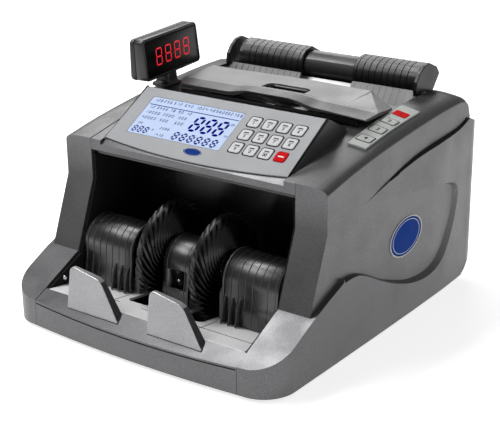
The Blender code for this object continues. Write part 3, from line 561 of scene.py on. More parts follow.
def plates(name, outlines, place, low, high, finish, body="root"):
    """Thin flat shapes joined in one piece. place maps (u, v, h) to a point."""
    verts, faces = [], []
    for outline in outlines:
        faces += prism_faces(len(verts), len(outline))
        verts += [place(u, v, h) for h in (low, high) for u, v in outline]
    return piece(name, verts, faces, finish, body, False)


def ring_outlines(outer, inner):
    """A flat ring as quads, so that it needs no hole."""
    count = len(outer)
    return [[outer[i], outer[(i + 1) % count], inner[(i + 1) % count], inner[i]]
            for i in range(count)]


SEGMENTS = {"0": "abcdef", "1": "bc", "2": "abged", "3": "abgcd", "4": "fgbc", "5": "afgcd",
            "6": "afgedc", "7": "abc", "8": "abcdefg", "9": "abcdfg"}


def digit(char, left, base, width, height, thick, slant):
    """Seven-segment digit as outlines in the plane of the display."""
    gap = thick * 0.16
    half = height / 2.0
    t = thick / 2.0

    def bar(x0, y0, x1, y1):
        run = Vector((x1 - x0, y1 - y0))
        step = run.normalized()
        side = Vector((-step.y, step.x)) * t
        a = Vector((x0, y0)) + step * (gap + t * 0.2)
        b = Vector((x1, y1)) - step * (gap + t * 0.2)
        pts = [a, a + step * t + side, b - step * t + side, b, b - step * t - side,
               a + step * t - side]
        return [(left + p.x + slant * p.y, base + p.y) for p in pts]

    lo, hi = t, height - t
    x0, x1 = t, width - t
    runs = {"a": (x0, hi, x1, hi), "b": (x1, half, x1, hi), "c": (x1, lo, x1, half),
            "d": (x0, lo, x1, lo), "e": (x0, lo, x0, half), "f": (x0, half, x0, hi),
            "g": (x0, half, x1, half)}
    return [bar(*runs[s]) for s in SEGMENTS[char]]


def numerals(text, left, base, height, width, thick, pitch, slant):
    """A row of digits."""
    return [bar for i, char in enumerate(text)
            for bar in digit(char, left + i * pitch, base, width, height, thick, slant)]


def lcd_place(a, b):
    """Place on the LCD: a from its left edge, b from its top edge, both from 0 to 1."""
    return LCD[0] + (LCD[2] - LCD[0]) * a, LCD[3] - (LCD[3] - LCD[1]) * b


# Small numerals: how far down the LCD a row stands, its height, and each number with its place
LCD_ROWS = (
    (0.125, 3.5, (("128", 0.035), ("256", 0.14), ("512", 0.25), ("640", 0.37), ("1024", 0.495),
                  ("409600", 0.64), ("32768", 0.83))),
    (0.315, 3.5, (("12", 0.035), ("3456", 0.115), ("78", 0.265), ("90", 0.355), ("12", 0.445))),
    (0.455, 3.5, (("10000", 0.035), ("2000", 0.225), ("300", 0.395))),
    (0.6, 3.5, (("40000", 0.035), ("500", 0.235), ("600", 0.4))),
    (0.745, 2.3, (("100", 0.035),)),
    (0.86, 2.4, (("0", 0.235),)),
    (0.79, 2.9, (("2580", 0.3),)),
    (0.96, 2.9, (("1470", 0.285),)))
# Large counters: text, place, then height, width, stroke, pitch and slant
LCD_COUNTERS = (
    ("888", (0.56, 0.69), (16.4, 9.0, 2.3, 11.4, 0.14)),
    ("888888", (0.47, 0.965), (8.4, 5.6, 1.5, 7.35, 0.1)),
    ("888", (0.03, 0.955), (6.8, 4.4, 1.15, 5.6, 0.1)),
    ("00", (0.955, 0.66), (1.9, 1.3, 0.4, 1.7, 0.05)))


def make_lcd():
    """Window with a printed border, and its ink: rows of numerals and large counters."""
    shapes = []
    for down, height, row in LCD_ROWS:
        for text, across in row:
            shapes += numerals(text, *lcd_place(across, down), height, height * 0.64,
                               height * 0.26 + 0.12, height * 0.86, 0.06)
    for text, spot, sizes in LCD_COUNTERS:
        shapes += numerals(text, *lcd_place(*spot), *sizes)
    u0, v0 = lcd_place(0.02, 0.215)
    u1, v1 = lcd_place(0.985, 0.198)
    shapes.append([(u0, v0), (u1, v0), (u1, v1), (u0, v1)])
    u, v = lcd_place(0.945, 0.36)
    shapes += ring_outlines(rounded(u, v, u + 2.6, v + 1.9, 0.5, 2),
                            rounded(u + 0.4, v + 0.4, u + 2.2, v + 1.5, 0.2, 2))
    u0, v0, u1, v1 = LCD
    glass = plates("lcd_face", [rounded(u0 + 0.3, v0 + 0.3, u1 - 0.3, v1 - 0.3, 1.4)], panel,
                   -1.2, -0.15, LCD_GLASS)
    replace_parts(glass, "lcd_window")
    plates("lcd_segments", shapes, panel, -0.2, -0.08, LCD_INK)
    front, rear = PANEL_HALF
    middle = (front + rear) / 2.0
    # The overlay widens to the front: a strip of film and a dark edge, painted shade of the chamfer where
    # it ends, make up its sides
    for side, side_name in ((-1, "left"), (1, "right")):
        inner = [(side * (rear - 0.3), PANEL_LENGTH), (side * middle, PANEL_LENGTH),
                 (side * (front - 0.1), 4.0)]
        outer = [(side * middle, PANEL_LENGTH + 1.4), (side * (front + 0.15), PANEL_LENGTH + 1.4),
                 (side * (front + 0.15), 2.5), (side * (front - 0.1), 3.5)]
        plates("panel_margin_" + side_name, [inner], panel, -1.4, 0.0, OVERLAY)
        plates("panel_shaded_edge_" + side_name, [outer], panel, -1.4, -0.05, SEAM_AND_SHADE)


def legend(name, text, size, place, finish, body):
    """Numerals set in the plain built-in typeface, as a thin raised print."""
    data = bpy.data.curves.new(name, "FONT")
    data.body = text
    data.align_x = "CENTER"
    data.align_y = "CENTER"
    data.size = size
    data.extrude = 0.03
    data.offset = size * 0.022
    data.resolution_u = 4
    text_object = bpy.data.objects.new(name + "_text", data)
    bpy.context.scene.collection.objects.link(text_object)
    graph = bpy.context.evaluated_depsgraph_get()
    mesh = bpy.data.meshes.new_from_object(text_object.evaluated_get(graph))
    bpy.data.objects.remove(text_object)
    for vert in mesh.vertices:
        vert.co = at(*place(vert.co.x, vert.co.y, vert.co.z))
    made = bpy.data.objects.new(name, mesh)
    bpy.context.scene.collection.objects.link(made)
    mesh.materials.clear()
    mesh.materials.append(finish)
    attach(made, body)


def key_cap(name, outline, inner, place, low, high, crown, finish, body):
    """A key with a rounded shoulder and a slightly dished top."""
    middle = (sum(p[0] for p in outline) / len(outline), sum(p[1] for p in outline) / len(outline))

    def scaled(points, factor):
        return [(middle[0] + (u - middle[0]) * factor, middle[1] + (v - middle[1]) * factor)
                for u, v in points]

    rings = [[place(u, v, low) for u, v in outline], [place(u, v, high - crown) for u, v in outline]]
    for share in (0.25, 0.5, 0.75, 1.0):
        edge = 1.0 - (1.0 - inner) * share ** 1.6
        height = high - crown + crown * math.sin(math.radians(90.0 * share))
        rings.append([place(u, v, height) for u, v in scaled(outline, edge)])
    rings.append([place(u, v, high - crown * 0.25) for u, v in scaled(outline, inner * 0.6)])
    return loft(name, rings, finish, body)


def make_keys():
    """Three rows of four keys: digits on the white ones, a bar on the red one."""
    outlines = []
    digits = iter(("1", "2", "3", "4", "5", "6", "7", "8", "9", "0", "00"))
    count = 0
    for v in KEY_ROWS:
        for u in KEY_COLUMNS:
            count += 1
            body = BODY_OF["panel_key_%d" % count]
            square = pad(u, v, KEY_HALF, KEY_HALF, 1.9)
            finish = KEY_RED if count == 12 else KEY_WHITE
            cap = key_cap("key_cap_%d" % count, square, 0.9, panel, -0.8, 0.55, 0.45, finish, body)
            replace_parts(cap, "panel_key_%d" % count)

            def spot(a, b, h, u=u, v=v):
                return panel(u + a, v + b, 0.46 + h)

            if count < 12:
                edge, inner = KEY_HALF + 0.95, KEY_HALF + 0.05
                outlines += ring_outlines(pad(u, v, edge, edge, 2.4), pad(u, v, inner, inner, 2.0))
                legend("key_digit_%d" % count, next(digits), 3.9,
                       lambda a, b, h, spot=spot: spot(a, b - 1.7, h), INK, body)
                marks = [rounded(-2.3, 1.5, 2.3, 2.5, 0.4, 2), rounded(-2.6, 0.35, 2.6, 0.6, 0.1, 1)]
                plates("key_mark_%d" % count, marks, spot, -0.03, 0.03, INK, body)
            else:
                plates("key_mark_12", [pad(0.0, 0.0, 2.6, 0.6, 0.5, 3)], spot, -0.03, 0.03,
                       WHITE_INK, body)
    plates("key_borders", outlines, panel, -0.1, 0.05, INK)


def badge(name, centre, size, place, low, high):
    """Blank oval badge: blue field in a thin pale rim."""
    def oval(scale):
        return [(centre[0] + size[0] * a, centre[1] + size[1] * b)
                for a, b in circle((0.0, 0.0), scale, 60)]

    plates(name + "_field", [oval(0.93)], place, low, high, BADGE_BLUE)
    plates(name + "_rim", ring_outlines(oval(1.0), oval(0.95)), place, low, high + 0.05, KEY_GREY)
    plates(name + "_line", ring_outlines(oval(0.84), oval(0.81)), place, high - 0.02, high + 0.04,
           KEY_GREY)


# ---------------------------------------------------------------- display

DISPLAY_AT = (-106.4, 105.6, 182.4)
DISPLAY_HALF = (8.6, 43.6, 17.0)
DISPLAY_TURN = math.radians(9.0)
DISPLAY_LEAN = math.tan(math.radians(7.0))


def display(u, v, h):
    """u along the display to the rear, v up, h out of its face towards the operator's right."""
    c, s = math.cos(DISPLAY_TURN), math.sin(DISPLAY_TURN)
    deep, tall = DISPLAY_HALF[0], DISPLAY_HALF[2]
    h -= DISPLAY_LEAN * (v + tall) * (h + deep) / (2.0 * deep)
    return (DISPLAY_AT[0] + h * c - u * s, DISPLAY_AT[1] + h * s + u * c, DISPLAY_AT[2] + v)


def pillow(name, half_u, half_v, corner, stations, place, finish, body):
    """A rounded box: each station is (h, how far the outline is drawn in)."""
    rings = []
    for h, inset in stations:
        outline = pad(0.0, 0.0, half_u - inset, half_v - inset, max(corner - inset, 0.6))
        rings.append([place(u, v, h) for u, v in outline])
    return loft(name, rings, finish, body)


def fillet(h_edge, h_face, radius):
    """Stations that round an edge off from the side wall onto the face."""
    steps = 4
    sign = 1.0 if h_face > h_edge else -1.0
    return [(h_face - sign * radius * (1.0 - math.sin(math.radians(90.0 * k / steps))),
             radius * (1.0 - math.cos(math.radians(90.0 * k / steps)))) for k in range(steps + 1)]


def make_display():
    """Customer display in two half shells with a lit window, on its stalk."""
    body = BODY_OF["display_housing"]
    deep, long_half, tall_half = DISPLAY_HALF
    seam = -2.2
    front = [(seam + 0.2, 1.0), (seam + 0.2, 0.2), (seam + 0.5, 0.0)] + fillet(seam, deep, 1.3)
    front += [(deep, 1.9), (deep - 0.5, 2.1), (deep - 0.8, 2.2)]
    shell = pillow("display_front", long_half, tall_half, 4.2, front, display, DARK_GREY, body)
    rear = [(seam - 0.2, 1.0), (seam - 0.2, 0.2), (seam - 0.5, 0.0)] + fillet(seam, -deep, 2.4)
    pillow("display_rear", long_half, tall_half, 4.2, rear, display, DARK_GREY, body)
    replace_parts(shell, "display_housing")
    pillow("display_core", long_half - 1.2, tall_half - 1.2, 3.4,
           [(seam - 2.0, 0.0), (seam + 2.0, 0.0)], display, BLACK, body)
    pillow("display_glass", long_half - 2.2, tall_half - 2.2, 2.0,
           [(deep - 1.8, 0.0), (deep - 0.5, 0.0), (deep - 0.35, 0.3)], display, GLASS_BLACK, body)
    digits = numerals("8888", -26.4, -7.1, 14.2, 9.4, 1.2, 14.6, 0.08)
    plates("display_digits", digits, display, deep - 0.45, deep - 0.3, LED_RED, body)
    screws("display_screw", corners(34.0, -9.5, 9.5), -deep + 0.1, 2.0, display, -1.0, body)
    for k in range(6):
        plates("display_slot_%d" % (k + 1), [pad(-12.5 + 5.0 * k, 0.0, 0.7, 6.0, 0.6, 3)], display,
               -deep - 0.05, -deep + 0.1, BLACK, body)
    low, high = ((corner.z - ORIGIN.z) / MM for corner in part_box("display_stalk"))
    rings = []
    for z, half_x, half_y in ((low, 9.6, 11.0), (low + 1.8, 9.4, 10.8), (low + 2.6, 8.6, 10.0),
                              (low + 3.0, 7.4, 8.6), (low + 6.0, 7.0, 8.0), (high - 1.2, 6.6, 7.6),
                              (high, 6.0, 7.0)):
        rings.append([(x, y, z) for x, y in pad(*DISPLAY_AT[:2], half_x, half_y, 4.6)])
    stalk = loft("stalk", rings, DARK_GREY)
    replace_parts(stalk, "display_stalk")


def screw(name, u, v, h, radius, place, facing, body):
    """Cross-recessed pan head. facing is +1 or -1 along h."""
    rings = []
    for share, rise in ((1.0, 0.0), (1.0, 0.25), (0.94, 0.45), (0.75, 0.62), (0.45, 0.7)):
        rings.append([place(a, b, h + facing * rise * radius * 0.55)
                      for a, b in circle((u, v), radius * share, 20)])
    head = loft(name, rings, CHROME, body)
    arm, wide = radius * 0.62, radius * 0.15
    cross, quarter = [], [(-wide, -arm), (wide, -arm), (wide, -wide)]
    for _ in range(4):
        cross += quarter
        quarter = [(-b, a) for a, b in quarter]
    verts = [place(u + a, v + b, h + facing * k) for k in (radius * 0.12, radius) for a, b in cross]
    cut(head, piece(name + "_cross", verts, prism_faces(0, len(cross)), BLACK, body))


def corners(half, low, high):
    """Four places: left and right at the low value, then at the high one."""
    return [(side * half, v) for v in (low, high) for side in (-1, 1)]


def screws(name, places, h, radius, place, facing, body="root"):
    for number, (u, v) in enumerate(places, 1):
        screw("%s_%d" % (name, number), u, v, h, radius, place, facing, body)


# ---------------------------------------------------------------- stacker

WHEEL_AT = (9.0, 52.0)
WHEEL_XS = (-25.5, 25.5)
WHEEL_R = 42.3
WHEEL_HALF = 8.5
SHELL_AT = (4.0, 51.0)
SHELL_R = 20.5
SHELL_FOOT = -19.6
SHELLS = {"left": (-93.6, -43.5), "centre": (-12.6, 12.6), "right": (44.0, 93.6)}
RIB_PITCH = 6.6
FLOOR_T = 2.2                   # thickness of the stacker floor


def floor_z(y):
    """Height of the stacker floor at y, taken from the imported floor's own slope."""
    low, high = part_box("stacker_tray")
    rise = (high.z - low.z) / MM - FLOOR_T
    run = (high.y - low.y) / MM
    rear = (high.y - ORIGIN.y) / MM
    return (low.z - ORIGIN.z) / MM + FLOOR_T + rise * (rear - y) / run


def shell_section(lift):
    """Outside of a shell in (y, z): over the shaft, down its front and out to a flared foot."""
    over = arc(SHELL_AT, SHELL_R + lift, 48, 182, 30)
    foot = SHELL_FOOT - lift
    front = spline([over[-1], (foot + 2.4, SHELL_AT[1] - 9.0), (foot + 0.7, SHELL_AT[1] - 17.0),
                    (foot, floor_z(foot) + 0.5)], 4)
    return over[:-1] + front


def make_shell(side):
    """Curved cover over the fan shaft with fine ribs and, near the floor, standing fins."""
    lo, hi = SHELLS[side]
    inner = shell_section(-1.8)
    rings = [[(x, y, z) for y, z in shell_section(-sink) + inner[::-1]]
             for x, sink in ((lo, 0.7), (lo + 0.2, 0.25), (lo + 0.7, 0.0), (hi - 0.7, 0.0),
                             (hi - 0.2, 0.25), (hi, 0.7))]
    shell = loft("shell_" + side, rings, SHELL_BLACK)
    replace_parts(shell, "stacker_shell_" + side)
    sign = 1.0 if side == "right" else -1.0
    inner_end = lo if side == "right" else hi
    if side == "centre":
        cut(shell, block("sensor_recess", (-4.6, -30.0, 36.4), (7.8, -10.0, 50.6), BLACK))
        block("sensor_glass", (-4.4, -17.0, 36.6), (7.6, -15.8, 50.4), GLASS_BLACK)
        led = [[(x, y, z) for x, z in circle((3.0, 43.4), radius, 20)]
               for y, radius in ((-16.6, 1.0), (-17.2, 1.0), (-17.7, 0.7), (-17.9, 0.2))]
        loft("sensor_led", led, CHROME)
        ribs = [(-8.6, 0.35), (8.6, 0.35)]
    else:
        ribs = [(inner_end + sign * (1.0 + RIB_PITCH * k), 0.4 if k else 0.9) for k in range(8)]
    # The ribs are drawn in the lighter grey: painted highlight on their ridges.
    for number, (x, rise) in enumerate(ribs, 1):
        wide = 0.9 if rise > 0.5 else 0.32
        strip = [[(x + dx, y, z) for y, z in shell_section(lift)]
                 for dx, lift in ((-wide, -0.3), (-wide * 0.6, rise), (wide * 0.6, rise), (wide, -0.3))]
        loft("rib_%s_%d" % (side, number), [list(r) for r in zip(*strip)], LIT_RIB_GREY)
    if side == "centre":
        return
    for number in range(3):
        x = inner_end + sign * (3.4 + RIB_PITCH * number)
        blade = [(SHELL_FOOT + 3.4, 44.0), (SHELL_FOOT + 1.2, 42.0), (-21.4, 36.0), (-23.6, 26.0),
                 (-25.0, floor_z(-25.0) + 0.4), (-17.6, floor_z(-17.6) + 0.4), (-16.2, 44.0)]
        fin = prism("fin_%s_%d" % (side, number + 1), blade, "X", x - 0.45, x + 0.45, LIT_RIB_GREY)
        soften(fin, 0.25, 2)
    # The upright ledge at the inner end is light grey: painted highlight of the shell's bright edge.
    ledge = (inner_end - sign * 4.6, inner_end - sign * 0.4)
    low = [(SHELL_FOOT + 4.0, floor_z(-15.0) + 0.3), (SHELL_FOOT + 5.0, 42.0), (2.0, 62.0),
           (4.0, 62.0), (4.0, 58.0), (SHELL_FOOT + 7.0, 40.0), (SHELL_FOOT + 6.0, floor_z(-13.0) + 0.3)]
    soften(prism("shell_ledge_" + side, low, "X", min(ledge), max(ledge), LIT_LEDGE_GREY), 0.3, 2)


def make_fan(side, centre):
    """A wheel of thin rubber fingers that leave the hub at a slant and curve back."""
    name = "fan_wheel_" + side
    body = BODY_OF[name]
    verts, faces = [], []
    hub, fingers, steps, sweep = 13.5, 32, 12, 78.0
    left_taper, right_taper = 29.0, 36.0        # radii from which a finger's sides draw in
    for k in range(fingers):
        base = 360.0 * k / fingers
        start = len(verts)
        for i in range(steps + 1):
            share = i / steps
            radius = hub - 0.4 + (WHEEL_R - hub + 0.4) * share
            angle = math.radians(base - sweep * share ** 1.25)
            thick = 0.42 - 0.22 * share
            outward = Vector((math.cos(angle), math.sin(angle)))
            normal = Vector((-outward.y, outward.x)) * thick
            left = WHEEL_HALF * (max(0.0, (radius - left_taper) / (WHEEL_R - left_taper)) ** 1.1 - 1.0)
            right = WHEEL_HALF - (WHEEL_HALF - 1.2) * max(
                0.0, (radius - right_taper) / (WHEEL_R - right_taper))
            mid = outward * radius
            for x, n in ((left, normal), (right, normal), (right, -normal), (left, -normal)):
                verts.append((centre + x, WHEEL_AT[0] + mid.x + n.x, WHEEL_AT[1] + mid.y + n.y))
        for i in range(steps):
            for j in range(4):
                a, b = start + 4 * i + j, start + 4 * i + (j + 1) % 4
                faces.append([a, b, b + 4, a + 4])
        faces += [[end + j for j in range(4)] for end in (start, start + 4 * steps)]
    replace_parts(piece("fingers_" + side, verts, faces, FAN_RUBBER, body), name)
    half = [(WHEEL_HALF - 0.6, 13.7), (WHEEL_HALF + 0.2, 12.6), (WHEEL_HALF + 0.2, 8.4),
            (WHEEL_HALF + 1.2, 7.6), (WHEEL_HALF + 1.2, 4.4)]
    profile = [(-x, radius) for x, radius in reversed(half)] + half
    rings = [[(centre + x, *p) for p in circle(WHEEL_AT, radius, 36)] for x, radius in profile]
    loft("fan_hub_" + side, rings, BLACK, body)


# ---------------------------------------------------------------- hatch

HATCH_X = (-88.0, 99.5)
HATCH_FRONT = 87.2
HATCH_CREASE = 100.0            # where the flat top turns down into the front band
HATCH_REAR = 146.0
HATCH_TOP = 164.5               # height of the flat top
SLOT_AT = (10.2, 111.6)         # middle and half size of the slot over the gap screw
SLOT_HALF = (20.8, 10.0)
FACET_FROM = 70.0               # where the rear right corner starts to fall away


def ease(t):
    """A smooth step from 0 to 1."""
    t = max(0.0, min(1.0, t))
    return t * t * (3.0 - 2.0 * t)


def make_hatch():
    """Liftable cover: flat top, sloping front band that arches up over a finger recess."""
    body = BODY_OF["hopper_cover"]
    lo, hi = HATCH_X
    stations = []
    for x in sorted({lo + (hi - lo) * i / 80.0 for i in range(81)} | {FACET_FROM}):
        arch = ease((x + 31.0) / 24.0) * ease((54.0 - x) / 26.0)
        right = max(0.0, (x - 42.0) / (hi - 42.0))
        fall = max(0.0, (x - FACET_FROM) / (hi - FACET_FROM))
        crown = 1.2 * math.exp(-((x - 12.0) / 50.0) ** 2)
        front = 162.2 + 3.3 * arch - 3.4 * right
        crease_y, crease = HATCH_CREASE + 6.0 * right, HATCH_TOP + 2.3 * arch - 4.6 * right
        end_y, rear = HATCH_REAR - 19.0 * fall, HATCH_TOP - 0.6 + crown - 4.6 * fall
        fold_y = min(end_y - 1.0, HATCH_REAR - 1.0 - (HATCH_REAR - 2.0 - crease_y) * fall)
        fold = rear + 0.5 if fall == 0.0 else HATCH_TOP - 0.1 - 4.4 * fall
        low = 158.9 - 1.0 * right + (front - 160.4) * arch
        bend = crease_y + 4.0 + 5.0 * arch
        plain = HATCH_TOP - 4.6 * right
        plane = plain + (fold - plain) * (bend - crease_y) / max(1.0, fold_y - crease_y)
        ring = [(HATCH_FRONT + 1.6, low), (HATCH_FRONT + 1.0, low + 0.4),
                (HATCH_FRONT + 0.8, front - 0.9), (HATCH_FRONT, front - 0.5),
                (HATCH_FRONT + 0.2, front + 0.3), (crease_y, crease),
                (crease_y + 1.6, crease + 0.1 * arch), (min(bend, fold_y - 0.4), plane + 0.15 * arch),
                (fold_y, fold), (end_y, rear), (end_y, rear - 1.4), (end_y - 1.6, rear - 2.0),
                (min(fold_y, end_y - 2.4), min(fold, rear) - 2.2), (bend - 0.6, plane - 2.6),
                (crease_y - 2.0, crease - 2.6), (HATCH_FRONT + 4.0, front - 1.6),
                (HATCH_FRONT + 3.2, low)]
        stations.append([(x, y, z) for y, z in ring])
    hatch = loft("hatch", stations, LIT_HATCH_PAINT, body)
    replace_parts(hatch, "hopper_cover")
    left_end = [(lo - 5.0, 70.0), (-76.8, 70.0), (-76.8, HATCH_FRONT), (lo + 0.4, HATCH_REAR),
                (lo + 0.4, 160.0), (lo - 5.0, 160.0)]
    for outline in (left_end, pad(*SLOT_AT, *SLOT_HALF, 6.0, 6)):
        cut(hatch, prism("hatch_cut", outline, "Z", 150.0, 180.0, LIT_HATCH_PAINT, body))
    soften(hatch, 0.35, 2, 24.0)
    flatten(hatch)
    band_end, facet_start = at(0.0, HATCH_CREASE - 1.8, 0.0).y, at(FACET_FROM, HATCH_REAR, 0.0)
    slope = (HATCH_REAR - HATCH_CREASE) / (hi - FACET_FROM)
    # Painted light and shade on one paint: the front band takes the dark shaded copy, the rear right
    # facet the plain casing paint, both darker than the lit copy on the top.
    repaint(hatch, SHADE_PAINT, lambda face: face.center.y < band_end)
    repaint(hatch, PAINT, lambda face: face.center.x > facet_start.x
            and face.center.y > facet_start.y - slope * (face.center.x - facet_start.x))
    rim = []
    for z, inset in ((160.6, 0.2), (164.0, 0.2), (164.0, 1.1), (160.6, 1.1), (160.6, 0.2)):
        outline = pad(*SLOT_AT, SLOT_HALF[0] - inset, SLOT_HALF[1] - inset, 6.0 - inset, 6)
        rim.append([(x, y, z) for x, y in outline])
    loft("hatch_slot_rim", rim, BLACK, body, caps=False)
    # A black plate behind the arch fills the finger recess: painted shade.
    well = [(-13.0, 159.4), (22.0, 158.0), (40.0, 159.6), (46.0, 162.0), (38.0, 165.0),
            (-10.0, 165.2), (-20.0, 162.6)]
    prism("finger_recess_shade", well, "Y", HATCH_FRONT + 1.6, HATCH_FRONT + 3.4, BLACK, body)


# ---------------------------------------------------------------- hopper

SLEEVE = ((208.4, 160.0), (209.0, 168.4), (205.0, 174.9), (193.4, 180.8), (185.3, 179.5),
          (181.4, 177.6), (178.4, 174.8), (176.2, 171.2), (175.3, 167.0), (175.6, 161.6))
BORE = ((206.1, 160.0), (206.9, 167.8), (203.7, 173.0), (193.1, 178.4), (186.0, 177.1),
        (180.3, 173.3), (177.7, 168.1), (177.9, 163.0))
FENCE = ((176.6, 154.6), (181.0, 158.4), (186.0, 158.6), (199.4, 155.6), (211.0, 169.4),
         (206.0, 175.6), (193.2, 181.0), (185.6, 179.9), (178.6, 175.2), (173.6, 168.6),
         (172.6, 162.0), (173.2, 158.0), (170.6, 153.8))
GUIDES = {"left": (-95.0, -17.0), "right": (33.0, 95.0)}
SLEEVES = {"left": (-83.0, -17.0), "right": (33.0, 95.0)}
SLEEVE_AT = (191.5, 168.0)      # middle of the sleeve's section
CAP_T = 3.4
GROOVES = 9


def sloping(foot, head):
    """Places on a plate that rises from foot to head in (y, z): u across, v up it, h above it."""
    run = Vector((head[0] - foot[0], head[1] - foot[1]))
    length = run.length
    run.normalize()

    def place(u, v, h):
        return (u, foot[0] + run.x * v - run.y * h, foot[1] + run.y * v + run.x * h)

    return place, length


def sleeve_section(sink):
    """Section of a guide's sleeve round the bar, its outside drawn in by sink."""
    outside = []
    for y, z in SLEEVE:
        reach = Vector((y - SLEEVE_AT[0], z - SLEEVE_AT[1]))
        reach *= 1.0 - sink / reach.length
        outside.append((SLEEVE_AT[0] + reach.x, SLEEVE_AT[1] + reach.y))
    return outside + [(176.4, 160.4), (177.6, 160.2)] + list(reversed(BORE))


def make_guide(side):
    """A note guide: grooved sleeve on the bar, fence at its outer end, striped ramp below."""
    near, far = GUIDES[side]
    lo, hi = SLEEVES[side]
    body = BODY_OF["hopper_guide_" + side]
    inner, outer, sign = (hi, lo, -1.0) if side == "left" else (lo, hi, 1.0)
    pitch = (hi - lo - 9.0) / GROOVES
    profile = [(inner, 0.9), (inner + sign * 0.5, 0.2), (inner + sign * 1.0, 0.0)]
    for k in range(GROOVES):
        edge = inner + sign * (4.0 + pitch * k)
        profile += [(edge - sign * 0.35, 0.0), (edge - sign * 0.2, 0.7), (edge + sign * 0.2, 0.7),
                    (edge + sign * 0.35, 0.0)]
    profile.append((outer - sign * (CAP_T - 0.4), 0.0))
    guide = loft("guide_" + side, [[(x, y, z) for y, z in sleeve_section(sink)] for x, sink in profile],
                 GUIDE_GREY, body)
    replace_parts(guide, "hopper_guide_" + side)
    soften(guide, 0.2, 2, 34.0)
    # The upward faces of the sleeve take the lighter copy: painted light on its tops.
    repaint(guide, LIT_GUIDE_TOP, lambda face: face.normal.z > 0.86)
    end = near if side == "left" else far - CAP_T
    cap = prism("guide_cap_" + side, FENCE, "X", end, end + CAP_T, GUIDE_GREY, body)
    soften(cap, 0.6, 3, 16.0)
    if side == "left":
        plug = list(SLEEVE) + [(182.0, 159.8), (196.0, 158.8)]
        soften(prism("sleeve_plug", plug, "X", lo, lo + CAP_T, GUIDE_GREY, body), 0.5, 3, 16.0)
    place, length = sloping((150.6, 122.1), (176.4, 160.8))
    plates("guide_ramp_" + side, [rounded(near + 0.4, 0.0, far - 0.4, length, 1.0, 3)], place, -0.7, 0.8,
           RAMP_GREY, body)
    places = [inner + sign * (4.0 + pitch * k) for k in range(int((far - near - 6.0) / pitch) + 1)]
    lines = [rounded(u - 0.35, 1.5, u + 0.35, length - 0.5, 0.3, 2) for u in places]
    plates("guide_lines_" + side, lines, place, 0.7, 0.88, BLACK, body)


def make_hopper_floor():
    """Bright floor plate below the two ramps."""
    place, length = sloping((150.4, 117.4), (183.0, 156.0))
    outline = rounded(-89.4, 0.0, 89.4, length, 1.0, 2)
    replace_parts(plates("hopper_floor_sheet", [outline], place, 0.0, 1.8, SHEET), "hopper_floor")


# ---------------------------------------------------------------- stop plates

PADDLES = {"left": -64.5, "right": 14.0}
PADDLE_WIDTH = 50.0


def make_paddle(side):
    """A note stop plate: a thin wedge with a slanted end and a broad bevel round its top."""
    left = PADDLES[side]
    body = BODY_OF["stop_plate_" + side]
    lift = 0.6
    y0, y1 = -68.6, -60.2
    section = [(y0, shoulder_z(y0) + lift), (y1, shoulder_z(y1) + lift), (-58.8, 52.0),
               (-60.0, 54.8), (-62.6, 54.8), (-63.4, 53.4)]
    front = ([(left, 15.0), (left + 56.6, 15.0), (left + 34.6, 45.0)]
             + [(left + 33.2, 46.9), (left + 31.2, 48.8), (left + 28.6, 50.3), (left + 25.6, 51.2),
                (left + 5.0, 54.4), (left + 2.4, 54.4), (left + 0.7, 53.2), (left, 51.0)])
    paddle = prism("paddle_" + side, section, "X", left - 2.0, left + PADDLE_WIDTH, LIT_PLATE_PAINT, body)
    combine(paddle, prism("paddle_shape", front, "Y", -90.0, -40.0, LIT_PLATE_PAINT, body), "INTERSECT")
    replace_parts(paddle, "stop_plate_" + side)
    soften(paddle, 1.5, 2, 32.0)
    flatten(paddle)
    # The end face takes the darker copy of the paint: painted shade.
    repaint(paddle, SHADE_PAINT, lambda face: face.normal.x > 0.5)
    # The bevels take the near-white copy: painted highlight round the top.
    paddle.modifiers["edges"].material = repaint(paddle, HIGHLIGHT_PAINT, lambda face: False)
    middle = left + PADDLE_WIDTH / 2.0
    stem = [(-67.6, 17.0), (-65.4, 17.0), (-65.4, 26.6), (-67.6, 25.4)]
    prism("paddle_stem_" + side, stem, "X", middle - 8.0, middle + 8.0, LIT_PLATE_PAINT, body)


def make_seams():
    """Thin shadow gap along the front lip and the fine joints of the tray."""
    lip = []
    for k in range(25):
        x = (SEAM_X - 1.0) * (2.0 * k / 24 - 1.0)
        y = front_y(x)
        z = shoulder_z(y)
        lip.append([(x, y + a, z + b) for a, b in ((-0.15, -2.4), (-0.15, -1.5), (0.6, -1.5),
                                                   (0.6, -2.4))])
    loft("lip_shadow", lip, SEAM_AND_SHADE)

    def place(u, v, h):
        return (u, v, floor_z(v) + h)

    lines = [(x - 0.3, -57.6, x + 0.3, -22.6) for x in (-42.5, 42.5)]
    lines += [(-93.0, -41.3, -36.4, -40.7), (-14.6, -41.3, 14.6, -40.7), (36.4, -41.3, 93.0, -40.7)]
    # A matte black plate in the gap under the hatch's front: painted shadow.
    shadow = [(89.5, 151.0), (91.0, 151.0), (91.0, 157.2), (89.5, 157.2)]
    prism("hatch_gap_shadow", shadow, "X", -78.0, 92.0, SEAM_AND_SHADE)
    head = [[(x, y, z) for y, z in circle((-40.5, 30.2), radius, 24)]
            for x, radius in ((-94.8, 2.1), (-93.7, 2.1), (-93.2, 1.7), (-93.0, 0.9))]
    loft("wall_screw", head, CHROME)
    plates("tray_joints", [rounded(*line, 0.25, 2) for line in lines], place, -0.2, 0.12, SEAM_AND_SHADE)


# ---------------------------------------------------------------- rear and underside

def rear_y(z):
    """Rear face of the casing at height z."""
    for (y0, z0), (y1, z1) in zip(REAR, REAR[1:]):
        if z0 <= z <= z1:
            return y0 + (y1 - y0) * (z - z0) / (z1 - z0)
    return REAR[-1][0]


def vent_row(first, pitch, count, low, high, half):
    """A row of upright slots with round ends."""
    return [rounded(first + pitch * k - half, low, first + pitch * k + half, high, half, 3)
            for k in range(count)]


